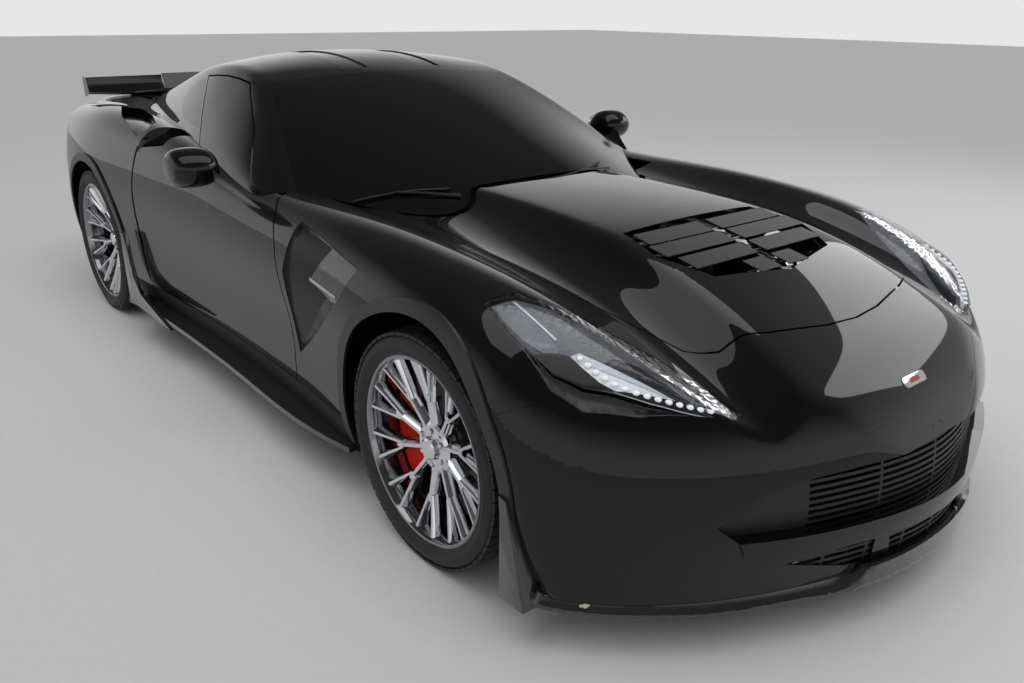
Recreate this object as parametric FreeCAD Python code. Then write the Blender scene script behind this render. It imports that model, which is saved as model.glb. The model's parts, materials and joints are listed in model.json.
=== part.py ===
import FreeCAD
import Part
import math
import os

# A low two-seat front-engined sports coupe: nose along +X, left side along +Y, standing on its tyres
# at Z = 0. The outer form comes from four surfaces that are drawn once and then split where the real
# panels meet: the lower body, the nose wall, the tail wall and the glasshouse. Sizes are in millimetres.

V = FreeCAD.Vector

# Overall sizes
nose_x = 2257.0
tail_x = -2257.0
wheelbase = 2710.0
front_overhang = 940.0
front_axle_x = nose_x - front_overhang
rear_axle_x = front_axle_x - wheelbase

# Wheels
front_tyre_radius = 327.0
rear_tyre_radius = 338.0
front_tyre_width = 285.0
rear_tyre_width = 325.0
front_track = 1613.0
rear_track = 1588.0
front_rim_radius = 262.0
rear_rim_radius = 274.0
rim_wall = 9.0
disc_radius = 197.0
disc_thickness = 32.0
disc_offset = -6.0
hub_radius = 62.0
kingpin_y = 760.0

# Panels and the gaps between them
skin = 6.0
panel_gap = 5.0
seam_gap = 0.8
door_gap = 6.5
hood_thickness = 18.0
screen_gap = 14.0
glass_thickness = 5.0
roof_wall = 26.0
front_arch_radius = 381.0
rear_arch_radius = 386.0
seat_clearance = 0.3

# Cabin, cargo space and structure
cabin_half_width = 735.0
floor_z = 150.0
floor_thickness = 26.0
firewall_x = 640.0
bulkhead_x = -1000.0
cargo_half_width = 545.0
cargo_floor_z = 560.0
cargo_rear_x = -2040.0
rocker_top_z = 257.0
undertray_top_z = 186.0
crossmember_top_z = 250.0
rocker_rear_x = -960.0
rocker_front_x = 925.0
pillar_outer_y = 702.0
hinge_x = 385.0
hinge_y = 896.0
hinge_barrel_radius = 10.0
hinge_pin_radius = 5.0
hinge_length = 45.0
hinge_heights = (545.0, 650.0)

# Goose-neck hinges of the hood and of the hatch, on pins across the car
neck_y = 250.0
neck_width = 12.0
neck_depth = 12.0
neck_barrel_radius = 9.0
ear_thickness = 6.0
ear_gap = 2.0
hood_hinge_x = 1985.0
hood_hinge_z = 625.0
hood_neck = ((-57, -17), (-104, -22), (-116, 80))
hatch_front_x = -880.0
hatch_rear_x = -2190.0
hatch_front_gap = 8.0
hatch_hinge_x = hatch_front_x + 35.0
hatch_hinge_drop = 24.0
hatch_neck = ((-24, -34), (-58, -34), (-66, 5))
hatch_thickness = 16.0


def through(keys):
    """A smooth curve through (position, value) pairs that never overshoots them."""
    keys = sorted(keys)
    xs = [k[0] for k in keys]
    ys = [k[1] for k in keys]
    n = len(xs)
    slopes = [(ys[i + 1] - ys[i]) / (xs[i + 1] - xs[i]) for i in range(n - 1)]
    tangents = [slopes[0]]
    for i in range(1, n - 1):
        a, b = slopes[i - 1], slopes[i]
        tangents.append(0.0 if a * b <= 0 else 2 * a * b / (a + b))
    tangents.append(slopes[-1])

    def value(x):
        if x <= xs[0]:
            return ys[0] + tangents[0] * (x - xs[0])
        if x >= xs[-1]:
            return ys[-1] + tangents[-1] * (x - xs[-1])
        i = max(j for j in range(n - 1) if xs[j] <= x)
        h = xs[i + 1] - xs[i]
        t = (x - xs[i]) / h
        return (
            ys[i] * (1 + 2 * t) * (1 - t) ** 2
            + tangents[i] * h * t * (1 - t) ** 2
            + ys[i + 1] * t * t * (3 - 2 * t)
            + tangents[i + 1] * h * t * t * (t - 1)
        )

    return value


def box(x0, x1, y0, y1, z0, z1):
    return Part.makeBox(x1 - x0, y1 - y0, z1 - z0, V(x0, y0, z0))


def mirrored(shape):
    return shape.mirror(V(0, 0, 0), V(0, 1, 0))


def both(shape):
    return Part.makeCompound([shape, mirrored(shape)])


def fused(shapes):
    return shapes[0].fuse(shapes[1:]) if len(shapes) > 1 else shapes[0]


def largest(shape):
    return max(shape.Solids, key=lambda piece: piece.Volume)


def disc_y(x, z, radius, y0, y1):
    return Part.makeCylinder(radius, y1 - y0, V(x, y0, z), V(0, 1, 0))


def outline(points):
    """A closed wire: a smooth curve through the points."""
    c = Part.BSplineCurve()
    c.interpolate(points, PeriodicFlag=True)
    return Part.Wire(c.toShape())


def plan_prism(points, z0=0.0, z1=1500.0):
    """A block with the given plan outline, (x, y) corners joined by straight runs."""
    wire = Part.makePolygon([V(x, y, z0) for x, y in points] + [V(points[0][0], points[0][1], z0)])
    return Part.Face(wire).extrude(V(0, 0, z1 - z0))


def side_prism(points, y0, y1):
    """A block with the given side outline, (x, z) corners joined by straight runs."""
    wire = Part.makePolygon([V(x, y0, z) for x, z in points] + [V(points[0][0], y0, points[0][1])])
    return Part.Face(wire).extrude(V(0, y1 - y0, 0))


def front_prism(points, x0=1600.0, x1=2400.0):
    """A block with the given front outline, (y, z) corners joined by straight runs."""
    wire = Part.makePolygon([V(x0, y, z) for y, z in points] + [V(x0, points[0][0], points[0][1])])
    return Part.Face(wire).extrude(V(x1 - x0, 0, 0))


def both_halves(half):
    """The whole of a (y, z) outline from its half on the left."""
    return list(half) + [(-y, z) for y, z in reversed(half)]


def grown(points, step):
    """A closed outline moved outwards by a step, its corners kept sharp."""
    n = len(points)
    area = sum(points[i - 1][0] * points[i][1] - points[i][0] * points[i - 1][1] for i in range(n))
    turn = 1.0 if area > 0 else -1.0
    out = []
    for i in range(n):
        a, b, c = points[i - 1], points[i], points[(i + 1) % n]
        first = math.hypot(b[0] - a[0], b[1] - a[1])
        second = math.hypot(c[0] - b[0], c[1] - b[1])
        px, py = turn * (b[1] - a[1]) / first, turn * (a[0] - b[0]) / first
        qx, qy = turn * (c[1] - b[1]) / second, turn * (b[0] - c[0]) / second
        share = 1.0 + px * qx + py * qy
        out.append((b[0] + step * (px + qx) / share, b[1] + step * (py + qy) / share))
    return out


def sweep_prism(curve_points, closing_points, direction):
    """A block whose outline is a smooth curve closed by straight runs."""
    c = Part.BSplineCurve()
    c.interpolate(curve_points)
    edges = [c.toShape()]
    chain = [curve_points[-1]] + closing_points + [curve_points[0]]
    for a, b in zip(chain, chain[1:]):
        edges.append(Part.makeLine(a, b))
    return Part.Face(Part.Wire(edges)).extrude(direction)


# Lower body lines, each as its height or half width along the car
centre_z = through([(-2350, 935), (-2000, 945), (-1400, 930), (-600, 880), (300, 855), (760, 868),
                    (1150, 858), (1450, 838), (1650, 798), (1850, 728), (2010, 652), (2130, 590),
                    (2200, 505), (2260, 400), (2350, 220)])
dome_y = through([(-2350, 330), (-600, 300), (600, 290), (1300, 325), (1750, 370), (2100, 400),
                  (2350, 420)])
dome_drop = through([(-2350, 5), (-600, 5), (200, 10), (620, 52), (1100, 52), (1500, 44), (1750, 26),
                     (1950, 14), (2350, 10)])
valley_y = through([(-2350, 560), (-600, 560), (600, 520), (1300, 520), (1750, 500), (2100, 500),
                    (2350, 520)])
valley_z = through([(-2350, 935), (-2000, 945), (-1400, 935), (-600, 870), (300, 800), (900, 780),
                    (1317, 745), (1600, 700), (1800, 648), (1950, 598), (2080, 540), (2180, 470),
                    (2350, 250)])
crest_y = through([(-2350, 730), (-2000, 755), (-1400, 800), (-900, 812), (-300, 835), (400, 800),
                   (1000, 800), (1317, 800), (1600, 775), (1800, 735), (2000, 660), (2350, 600)])
crest_z = through([(-2350, 890), (-2000, 918), (-1600, 952), (-1300, 962), (-900, 945), (-500, 915),
                   (-100, 868), (350, 838), (900, 838), (1317, 812), (1500, 785), (1700, 725),
                   (1900, 640), (2060, 560), (2350, 330)])
shoulder_y = through([(-2350, 840), (-2000, 885), (-1400, 925), (-900, 912), (-400, 905), (300, 900),
                      (800, 915), (1317, 930), (1700, 925), (2000, 870), (2350, 790)])
shoulder_z = through([(-2350, 800), (-1800, 845), (-1400, 865), (-900, 835), (-300, 770), (400, 750),
                      (900, 745), (1317, 735), (1700, 665), (2000, 560), (2350, 400)])
widest_y = through([(-2350, 870), (-2000, 930), (-1650, 968), (-1393, 980), (-1000, 962), (-600, 945),
                    (0, 925), (500, 930), (900, 955), (1317, 978), (1650, 975), (1900, 940),
                    (2350, 850)])
widest_z = through([(-2350, 640), (-1400, 690), (-700, 660), (400, 620), (1317, 610), (1700, 560),
                    (2350, 420)])
waist_y = through([(-2350, 860), (-2000, 920), (-1650, 962), (-1393, 972), (-1000, 945), (-600, 912),
                   (0, 892), (500, 897), (900, 930), (1317, 958), (1650, 962), (1900, 940),
                   (2350, 850)])
low_y = through([(-2350, 850), (-1900, 910), (-1393, 955), (-1000, 940), (-500, 905), (0, 893), (500, 905),
                 (900, 935), (1317, 955), (1650, 960), (1900, 940), (2350, 850)])
waist_z = 440.0
low_z = 250.0
sill_inset = 40.0
body_stations = (-2350, -2130, -1900, -1650, -1400, -1100, -750, -400, -50, 300, 620, 930, 1220, 1460, 1650,
                 1820, 1970, 2100, 2220, 2350)


def body_section(x):
    """Half of the lower body's section, from the middle of the top down to the sill."""
    cz, dy, drop = centre_z(x), dome_y(x), dome_drop(x)
    vy, vz = valley_y(x), valley_z(x)
    cy, cr = crest_y(x), crest_z(x)
    sy, sz = shoulder_y(x), shoulder_z(x)
    foot_z = cz - 18 - max(drop - 26, 0)
    return [
        (0, cz),
        (0.5 * dy, cz - 3),
        (dy - 14, cz - 10),
        (dy + 12, cz - 18),
        (dy + 70, 0.25 * foot_z + 0.75 * (vz + 8)),
        (vy, vz),
        (0.55 * vy + 0.45 * cy, 0.6 * vz + 0.4 * cr),
        (cy - 75, cr - 2),
        (cy + 5, cr + 2),
        (0.5 * (cy + sy) + 18, 0.5 * (cr + sz) + 14),
        (sy + 4, sz),
        (widest_y(x), widest_z(x)),
        (waist_y(x), waist_z),
        (low_y(x), low_z),
        (low_y(x) - sill_inset, floor_z),
    ]


# Plan outline of the nose and tail walls, and how far each height leans back from it
nose_plan = ((500, 1150), (1300, 1080), (1500, 1030), (1640, 992), (1760, 955), (1880, 880), (1985, 760),
             (2075, 620), (2150, 460), (2218, 260), (2250, 110), (nose_x, 0))
nose_lean = ((60, -25), (118, -18), (200, -8), (300, 0), (400, -6), (480, -22), (560, -62), (640, -130),
             (740, -260), (860, -460), (1000, -720))
tail_plan = ((-500, 1150), (-1400, 1100), (-1650, 1010), (-1820, 945), (-1960, 870), (-2080, 770),
             (-2165, 640), (-2220, 460), (-2245, 240), (tail_x + 5, 0))
tail_lean = ((60, 160), (118, 120), (220, 60), (330, 22), (450, 4), (560, 0), (660, 10), (760, 30),
             (860, 42), (940, 40), (1100, 30))

# Glasshouse lines
roof_z = through([(1000, 760), (820, 835), (400, 985), (-160, 1170), (-350, 1212), (-560, 1232),
                  (-800, 1222), (-1100, 1174), (-1500, 1090), (-1900, 1000), (-2150, 935)])
pillar_y = through([(1000, 875), (820, 890), (367, 795), (-210, 596), (-400, 568), (-700, 555),
                    (-1100, 520), (-1500, 480), (-1900, 440), (-2150, 400)])
pillar_z = through([(1000, 500), (820, 600), (367, 838), (-210, 1148), (-400, 1180), (-600, 1184),
                    (-800, 1168), (-1100, 1106), (-1500, 1018), (-1900, 940), (-2150, 860)])
belt_y = through([(1000, 890), (820, 900), (367, 880), (-210, 850), (-560, 800), (-1000, 715), (-1500, 620),
                  (-1900, 560), (-2150, 520)])
belt_height = 840.0
glass_stations = (1000, 820, 600, 367, 80, -210, -400, -600, -850, -1100, -1500, -1900, -2150)


def glass_section(x):
    """Half of the glasshouse's section: the screen or roof, its corner, and the leaning side glass."""
    rz, py, pz, by = roof_z(x), pillar_y(x), pillar_z(x), belt_y(x)
    bz = min(belt_height, pz - 60)
    dy, dz = by - py, bz - pz
    return [
        (0, rz),
        (0.30 * py, rz - 0.06 * (rz - pz)),
        (0.62 * py, rz - 0.36 * (rz - pz)),
        (0.90 * py, rz - 0.83 * (rz - pz)),
        (py, pz),
        (py + 0.16 * dy + 4, pz + 0.16 * dz),
        (py + 0.55 * dy + 16, pz + 0.55 * dz),
        (by, bz),
        (by - 25, bz - 90),
        (by - 140, floor_z),
    ]


def moved_in(section, depth):
    """The same half section, moved inwards by a depth along its own normals."""
    out = []
    last = len(section) - 1
    for i in range(len(section)):
        a = section[max(i - 1, 0)]
        b = section[min(i + 1, last)]
        run = math.hypot(b[0] - a[0], b[1] - a[1])
        across, up = (b[1] - a[1]) / run, (b[0] - a[0]) / run
        out.append((section[i][0] + depth * across, section[i][1] - depth * up))
    out[0] = (0, out[0][1])
    out[-1] = (out[-1][0], section[-1][1])
    return out


def sheet(rows):
    """A smooth cubic surface over a grid of poles."""
    n, m = len(rows), len(rows[0])
    s = Part.BSplineSurface()
    s.buildFromPolesMultsKnots(rows, [4] + [1] * (n - 4) + [4], [4] + [1] * (m - 4) + [4],
                               list(range(n - 2)), list(range(m - 2)), False, False, 3, 3)
    return s


def moved(shape, x=0.0, y=0.0, z=0.0):
    shape = shape.copy()
    shape.translate(V(x, y, z))
    return shape


def top_layer(block, depth, drop=0.0):
    """The upper skin of a block, optionally the skin that starts a little below its top."""
    upper = moved(block, z=-drop) if drop else block
    return upper.cut(moved(block, z=-drop - depth))


def flat(edges):
    return Part.Face(Part.Wire(Part.__sortEdges__(edges)))


def enclosed(rows, back=None):
    """A solid under the surface, or the solid between the surface and a plane across the car."""
    s = sheet(rows)
    u0, u1, v0, v1 = s.bounds()
    first_row, last_row = s.uIso(u0).toShape(), s.uIso(u1).toShape()
    first_col, last_col = s.vIso(v0).toShape(), s.vIso(v1).toShape()
    a, b, c, d = rows[0][0], rows[0][-1], rows[-1][-1], rows[-1][0]
    line = Part.makeLine
    if back is None:
        faces = [
            s.toShape(),
            flat([first_row, line(a, b)]),
            flat([last_row, line(c, d)]),
            flat([first_col, last_col, line(a, b), line(c, d)]),
        ]
    else:
        fa, fb, fc, fd = [V(back, p.y, p.z) for p in (a, b, c, d)]
        faces = [
            s.toShape(),
            flat([first_row, line(b, fb), line(fb, fa), line(fa, a)]),
            flat([last_row, line(c, fc), line(fc, fd), line(fd, d)]),
            flat([first_col, line(d, fd), line(fd, fa), line(fa, a)]),
            flat([last_col, line(b, fb), line(fb, fc), line(fc, c)]),
            Part.Face(Part.makePolygon([fa, fb, fc, fd, fa])),
        ]
    shell = Part.makeShell(faces)
    shell.sewShape()
    solid = Part.makeSolid(shell)
    if solid.Volume < 0:
        solid.reverse()
    return solid


def sections_to_solid(stations, section, depth=0.0):
    rows = []
    for x in stations:
        half = section(x)
        if depth:
            half = moved_in(half, depth)
        rows.append([V(x, -y, z) for y, z in reversed(half)] + [V(x, y, z) for y, z in half[1:]])
    return enclosed(rows)


def end_wall(plan, leans, back, depth=0.0):
    """The solid behind the nose wall, or ahead of the tail wall."""
    rows = []
    for z, lean in leans:
        half = [(x + lean + depth, y) for x, y in plan]
        rows.append([V(x, -y, z) for x, y in half] + [V(x, y, z) for x, y in reversed(half[:-1])])
    return enclosed(rows, back)


beyond = 2600.0
nose_wall = end_wall(nose_plan, nose_lean, -beyond)
nose_wall_inner = end_wall(nose_plan, nose_lean, -beyond, -skin)
tail_wall = end_wall(tail_plan, tail_lean, beyond)
tail_wall_inner = end_wall(tail_plan, tail_lean, beyond, skin)
lower_full = sections_to_solid(body_stations, body_section)
lower_body = lower_full.common(nose_wall).common(tail_wall)
lower_inner = sections_to_solid(body_stations, body_section, skin)
lower_inner = lower_inner.common(nose_wall_inner).common(tail_wall_inner)
glasshouse = sections_to_solid(glass_stations, glass_section)
glass_inner = sections_to_solid(glass_stations, glass_section, glass_thickness)
roof_inner = sections_to_solid(glass_stations, glass_section, roof_wall)
skin_shell = lower_body.cut(lower_inner)

# Side outline of a door: its front cut bends forward at the waist and its rear cut is nearly upright
door_front_cut = ((371, 829), (433, 800), (462, 762), (494, 709), (514, 643), (533, 589), (560, 500),
                  (572, 400), (560, 300))
door_rear_cut = ((-800, 300), (-806, 420), (-806, 600), (-800, 720), (-790, 852), (-565, 884))
door_bottom_z = rocker_top_z + panel_gap
door_top_z = 1000.0
# The corner left out of a door's top for the foot of the windscreen pillar, as x, y and z ranges
pillar_notch = (342.0, 376.0, 770.0, 817.0, 829.0, 860.0)


def door_block(grow, y0, y1):
    """The block that a door is cut out with, grown outwards by the gap for the panels around it."""
    front, rear = list(door_front_cut), list(door_rear_cut)
    points = [(front[0][0] - 120, door_top_z), (front[0][0] - 40, front[0][1] + 40)] + front
    points += [(front[-1][0] - 20, door_bottom_z), (rear[0][0] + 20, door_bottom_z)] + rear
    points.append((rear[-1][0] + 10, door_top_z))
    return side_prism(grown(points, grow), y0, y1)


# Plan outline of the hood's edge, from the cowl to the middle of its front edge
hood_edge = ((600, 570), (850, 552), (1200, 590), (1450, 580), (1650, 532), (1800, 492), (1862, 440),
             (1905, 310), (1945, 120), (1955, 0))
cowl_edge = ((600, 570), (640, 420), (690, 330), (760, 260), (800, 0))


# Plan outline of the vent in the hood's dome, and its louvres
hood_vent = ((1395, -290), (1395, 290), (1560, 330), (1700, 262), (1755, 0), (1700, -262), (1560, -330))
louvre_count = 4
louvre_first_x = 1430.0
louvre_pitch = 78.0
louvre_lean = 14.0


def hood_block(grow):
    side = [(x, y + grow) for x, y in hood_edge[:6]] + [(x + grow, y + 0.5 * grow) for x, y in hood_edge[6:]]
    back = [(x - grow, -y) for x, y in cowl_edge[1:-1]] + [(cowl_edge[-1][0] - grow, 0)]
    points = side + [(x, -y) for x, y in reversed(side[:-1])] + back
    points += [(x - grow, y) for x, y in reversed(cowl_edge[1:-1])]
    return plan_prism(points, 300.0, 1100.0)


# Plan outline of a headlamp
lamp_outline = ((1484, 847), (1500, 766), (1560, 712), (1640, 664), (1783, 598), (1900, 553), (2002, 528),
                (2006, 560), (1960, 650), (1891, 752), (1815, 835), (1745, 868), (1642, 872), (1560, 864))


def lamp_block(grow):
    return plan_prism(grown(lamp_outline, grow), 480.0, 1000.0)


# Where the fascia meets the fenders: across the nose in plan, and down the side below the lamp
seam_x = 1806.0
seam_low = (1600.0, 545.0)
seam_high = (1840.0, 660.0)


def top_of(body, x, y):
    """Height of a body's upper surface at a place in plan."""
    return Part.makeLine(V(x, y, 300), V(x, y, 1400)).common(body).BoundBox.ZMax


def halfway(edge):
    """The corners of an open outline with the middle of each run added."""
    out = [edge[0]]
    for a, b in zip(edge, edge[1:]):
        out += [((a[0] + b[0]) / 2, (a[1] + b[1]) / 2), b]
    return out


def swing_body(edge, pin_x, pin_z, surface):
    """The round body about a hinge pin that the upper corner of a lid's edge just clears as it swings."""
    half = []
    for x, y in halfway(edge):
        reach = math.hypot(x - pin_x, top_of(surface, x, y) - pin_z) - seat_clearance
        half.append(V(pin_x, y, pin_z + reach))
    other = [V(p.x, -p.y, p.z) for p in reversed(half[:-1])]
    ring = half + other + [V(pin_x, -half[0].y, pin_z), V(pin_x, half[0].y, pin_z)]
    return Part.Face(Part.makePolygon(ring + [ring[0]])).revolve(V(pin_x, 0, pin_z), V(0, 1, 0), 360)


def goose_neck(pin_x, pin_z, offsets):
    """An arm of a lid's hinge: a barrel round the pin and runs through the given offsets from it."""
    y0, y1 = neck_y - neck_width / 2, neck_y + neck_width / 2
    pieces = [disc_y(pin_x, pin_z, neck_barrel_radius, y0, y1)]
    chain = [(0.0, 0.0)] + list(offsets)
    for (ax, az), (bx, bz) in zip(chain, chain[1:]):
        run = math.hypot(bx - ax, bz - az)
        nx, nz = (az - bz) / run * neck_depth / 2, (bx - ax) / run * neck_depth / 2
        corners = ((ax + nx, az + nz), (bx + nx, bz + nz), (bx - nx, bz - nz), (ax - nx, az - nz))
        pieces.append(side_prism([(pin_x + x, pin_z + z) for x, z in corners], y0, y1))
        pieces.append(disc_y(pin_x + bx, pin_z + bz, neck_depth / 2, y0, y1))
    return fused(pieces).cut(disc_y(pin_x, pin_z, hinge_pin_radius + seat_clearance, y0, y1))


def fascia_block(grow):
    nose_part = box(seam_x - grow, nose_x + 100, -1200, 1200, 0, 1200)
    slope = (seam_high[1] - seam_low[1]) / (seam_high[0] - seam_low[0])
    points = [(1300 - grow, 0), (nose_x + 100, 0), (nose_x + 100, seam_high[1] + 120),
              (seam_high[0], seam_high[1] + grow), (seam_low[0], seam_low[1] + grow),
              (1300 - grow, seam_low[1] - slope * 300 + grow)]
    side_part = side_prism(points, -1200, 1200)
    return nose_part.fuse(side_part)


# The openings of the nose as (half width, height) corners, the duct behind the mouth and the lip under it
mouth = both_halves(((300, 446), (420, 441), (540, 422), (645, 350), (600, 310), (400, 304)))
side_inlet = ((485, 229), (320, 241), (236, 246), (232, 184), (310, 182))
centre_inlet = both_halves(((190, 238), (172, 180)))
duct_depth = 50.0
duct_wall = 5.0
lip_outline = both_halves(((400, 304), (600, 310), (588, 276), (400, 250)))
lip_reach = 10.0

# Openings and recesses of the tail as (half width, height) corners
outer_lamp = ((540, 752), (668, 764), (648, 826), (556, 822))
inner_lamp = ((352, 746), (512, 750), (528, 822), (376, 818))
plate_recess = both_halves(((262, 600), (250, 470)))
tail_vent = ((560, 575), (790, 590), (760, 500), (600, 470))
recess_depth = 15.0

# The outlet in the side behind each front wheel, and the bridge across it
vent_outline = ((612, 802), (1022, 752), (945, 645), (800, 515), (615, 380), (592, 500), (562, 640))
vent_bridge = ((872, 790), (1050, 770), (940, 630), (762, 662))
vent_pivot = V(555, 930, 0)
vent_turn = 5.0
vent_wall = 3.0

# Bands round the wheel arches
flare_width = 34.0
flare_overhang = 3.0
flare_thickness = 8.0
flare_low_z = 200.0

# The intake in the top of each rear quarter, in plan
quarter_intake = ((-1385, 765), (-1290, 700), (-1050, 735), (-850, 790), (-800, 852), (-850, 880),
                  (-1150, 838))
intake_depth = 36.0


def arch_cut(x, z, radius, y0):
    return disc_y(x, z, radius, y0, 1200).fuse(box(x - radius, x + radius, y0, 1200, 0, z))


front_arch = arch_cut(front_axle_x, front_tyre_radius, front_arch_radius, 500)
rear_arch = arch_cut(rear_axle_x, rear_tyre_radius, rear_arch_radius, 600)
arches = fused([front_arch, rear_arch, mirrored(front_arch), mirrored(rear_arch)])

# Where the hatch is cut out of the roof and the deck
hatch_front_half_width = 455.0


def hatch_block(grow, low=600.0):
    half = ((hatch_front_x, 0), (hatch_front_x, hatch_front_half_width), (-1400, 472), (-1900, 452),
            (-2060, 500), (hatch_rear_x, 510), (hatch_rear_x, 0))
    front_grow = hatch_front_gap if grow else 0.0
    left = [(x + (front_grow if x == hatch_front_x else 0) - (grow if x == hatch_rear_x else 0),
             y + (grow if y else 0)) for x, y in half]
    points = left[1:-1] + [(x, -y) for x, y in reversed(left[1:-1])]
    return plan_prism(points, low, 1400.0)


cabin_void = box(bulkhead_x + 40, firewall_x, -cabin_half_width, cabin_half_width,
                 floor_z + floor_thickness, 862)
cabin_void = cabin_void.fuse(roof_inner.common(box(-2300, 1100, -1000, 1000, 800, 1400)))
cargo_void = box(cargo_rear_x, bulkhead_x, -cargo_half_width, cargo_half_width, cargo_floor_z, 905)

nodes = {}


def panels():
    hood_region = hood_block(0.0)
    hood_opening = hood_block(panel_gap)
    screen_foot = moved(glasshouse, x=screen_gap, z=0.5 * screen_gap)
    hood = largest(top_layer(lower_body.common(hood_region), hood_thickness).cut(screen_foot))
    vent = plan_prism(hood_vent, 600, 1000)
    front_edge = hood_edge[5:]
    hood = hood.cut(vent).cut(swing_body(front_edge, hood_hinge_x, hood_hinge_z, lower_body))
    neck = goose_neck(hood_hinge_x, hood_hinge_z, hood_neck).common(moved(lower_body, z=1.0 - hood_thickness))
    nodes["hood"] = fused([hood, neck, mirrored(neck)])
    inside = plan_prism(grown(hood_vent, -4), 500, 1000)
    slats = []
    for i in range(louvre_count):
        x = louvre_first_x + louvre_pitch * i
        plate = box(x - 8, x + 58, -340, 340, 0, 5)
        plate.rotate(V(x, 0, 0), V(0, 1, 0), -louvre_lean)
        slats.append(moved(plate, z=centre_z(x + 30) - 34).common(inside))
    rib_line = ((1390, 36), (1399, 12), (1560, 12), (1748, 12), (1757, 36), (1560, 36))
    rib = side_prism([(x, centre_z(x) - drop) for x, drop in rib_line], -18, 18)
    rib = rib.common(plan_prism(grown(hood_vent, -1), 500, 1000))
    ring = plan_prism(grown(hood_vent, 22), 500, 1000).cut(plan_prism(grown(hood_vent, -12), 500, 1000))
    ring = top_layer(lower_body.common(ring), 18.0, hood_thickness + seat_clearance)
    nodes["hood_louvres"] = fused([ring, rib] + slats)

    fascia_region = fascia_block(0.0)
    fascia_opening = fascia_block(seam_gap)
    lamps_open = both(lamp_block(lamp_gap))
    front_shell = skin_shell.cut(hood_opening).cut(lamps_open).cut(arches)
    fascia = front_shell.common(fascia_region)
    nose_band = lower_body.cut(moved(nose_wall, x=-duct_depth))
    opening = front_prism(mouth)
    surround = nose_band.common(front_prism(grown(mouth, duct_wall))).cut(opening)
    lip = moved(nose_wall, x=lip_reach).cut(moved(nose_wall, x=-skin)).common(front_prism(lip_outline))
    fascia = fascia.cut(opening).fuse([surround, lip.common(box(1500, 2400, -1200, 1200, 0, 600))])
    inlets = fused([both(front_prism(side_inlet)), front_prism(centre_inlet)])
    nodes["front_fascia"] = largest(fascia.cut(inlets))
    fender_box = box(firewall_x - 400, seam_x + 100, 300, 1200, 0, 1200)
    fender = front_shell.common(fender_box).cut(fascia_opening).cut(door_block(door_gap, 500, 1200))
    fender = fender.cut(box(0, 1300, 0, 1200, 0, rocker_top_z + 1)).cut(glasshouse)
    fender = fender.cut(box(0, hood_edge[0][0] + 20, 0, 700, 0, 1200))
    outlet = side_prism(vent_outline, 700, 1200)
    nodes["fenders"] = both(largest(fender.cut(outlet)))

    # The outlet's cup follows the body's side, turned inwards towards the front wheel
    sunk_body = lower_body.copy()
    sunk_body.rotate(vent_pivot, V(0, 0, 1), -vent_turn)
    inside_outlet = side_prism(grown(vent_outline, -seat_clearance), 700, 1200)
    cup_floor = sunk_body.common(inside_outlet).cut(moved(sunk_body, y=-skin))
    rim = inside_outlet.cut(side_prism(grown(vent_outline, -seat_clearance - vent_wall), 700, 1200))
    cup_wall = lower_body.common(rim).cut(moved(sunk_body, y=-skin))
    bridge = lower_body.cut(moved(lower_body, y=-skin)).common(inside_outlet)
    bridge = bridge.common(side_prism(vent_bridge, 700, 1200))
    nodes["side_outlets"] = both(largest(fused([cup_floor, cup_wall, bridge])))

    flares = []
    for x, z, radius in ((front_axle_x, front_tyre_radius, front_arch_radius),
                         (rear_axle_x, rear_tyre_radius, rear_arch_radius)):
        ring = disc_y(x, z, radius + flare_width, 700, 1200)
        ring = ring.cut(disc_y(x, z, radius - flare_overhang, 700, 1200))
        band = moved(lower_body, y=flare_thickness).cut(moved(lower_body, y=seat_clearance)).common(ring)
        band = band.common(box(-2300, 2300, 700, 1200, flare_low_z, 1200))
        flares.append(largest(band.cut(side_prism(grown(wheel_guard, seam_gap), 700, 1200))))
    nodes["arch_flares"] = both(Part.makeCompound(flares))

    door_region = door_block(0.0, 500, 1200)
    taper = plan_prism([(-900, 1200), (-900, 700), (-700, 700), (-796, 945), (-796, 1200)], 0, 1400)
    door_full = lower_body.common(door_region).cut(cabin_void).cut(glasshouse)
    pocket = lower_inner.common(box(hinge_x - 30, 800, 500, 1200, 0, 1200))
    door = door_full.cut(pocket).cut(taper).cut(box(*pillar_notch))
    hinges = [largest(door)]
    for z in hinge_heights:
        barrel = Part.makeCylinder(hinge_barrel_radius, hinge_length, V(hinge_x, hinge_y, z))
        web = box(hinge_x - 34, hinge_x, hinge_y - 18, hinge_y - 2, z, z + hinge_length)
        hole = Part.makeCylinder(hinge_pin_radius + seat_clearance, hinge_length, V(hinge_x, hinge_y, z))
        hinges.append(barrel.fuse(web).cut(hole))
    nodes["door_left"] = fused(hinges)


def mirror_housing():
    """A door mirror: a rounded head on an arm that rises from the door's front corner."""
    rows = []
    for y, x0, x1, z0, z1 in ((925, 30, 140, 856, 940), (955, 0, 160, 844, 958), (1010, -10, 165, 840, 962),
                              (1050, 0, 150, 846, 956), (1070, 30, 120, 864, 936)):
        cx, cz, rx, rz = (x0 + x1) / 2, (z0 + z1) / 2, (x1 - x0) / 2, (z1 - z0) / 2
        points = []
        for k in range(8):
            a = 2 * math.pi * (k + 0.5) / 8
            points.append(V(cx + rx * 1.08 * math.cos(a), y, cz + rz * 1.08 * math.sin(a)))
        rows.append(outline(points))
    head = Part.makeLoft(rows, True, False)
    arm_rows = []
    for x, y, z, a, b in ((330, 850, 752, 80, 26), (280, 880, 790, 52, 26), (215, 905, 828, 46, 26),
                          (150, 935, 866, 44, 30), (95, 975, 898, 40, 36)):
        points = []
        for k in range(8):
            t = 2 * math.pi * k / 8
            points.append(V(x + a * math.cos(t), y + 0.5 * b * math.sin(t), z + b * math.sin(t)))
        arm_rows.append(outline(points))
    arm = Part.makeLoft(arm_rows, True, False)
    return head.fuse(arm)


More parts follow.
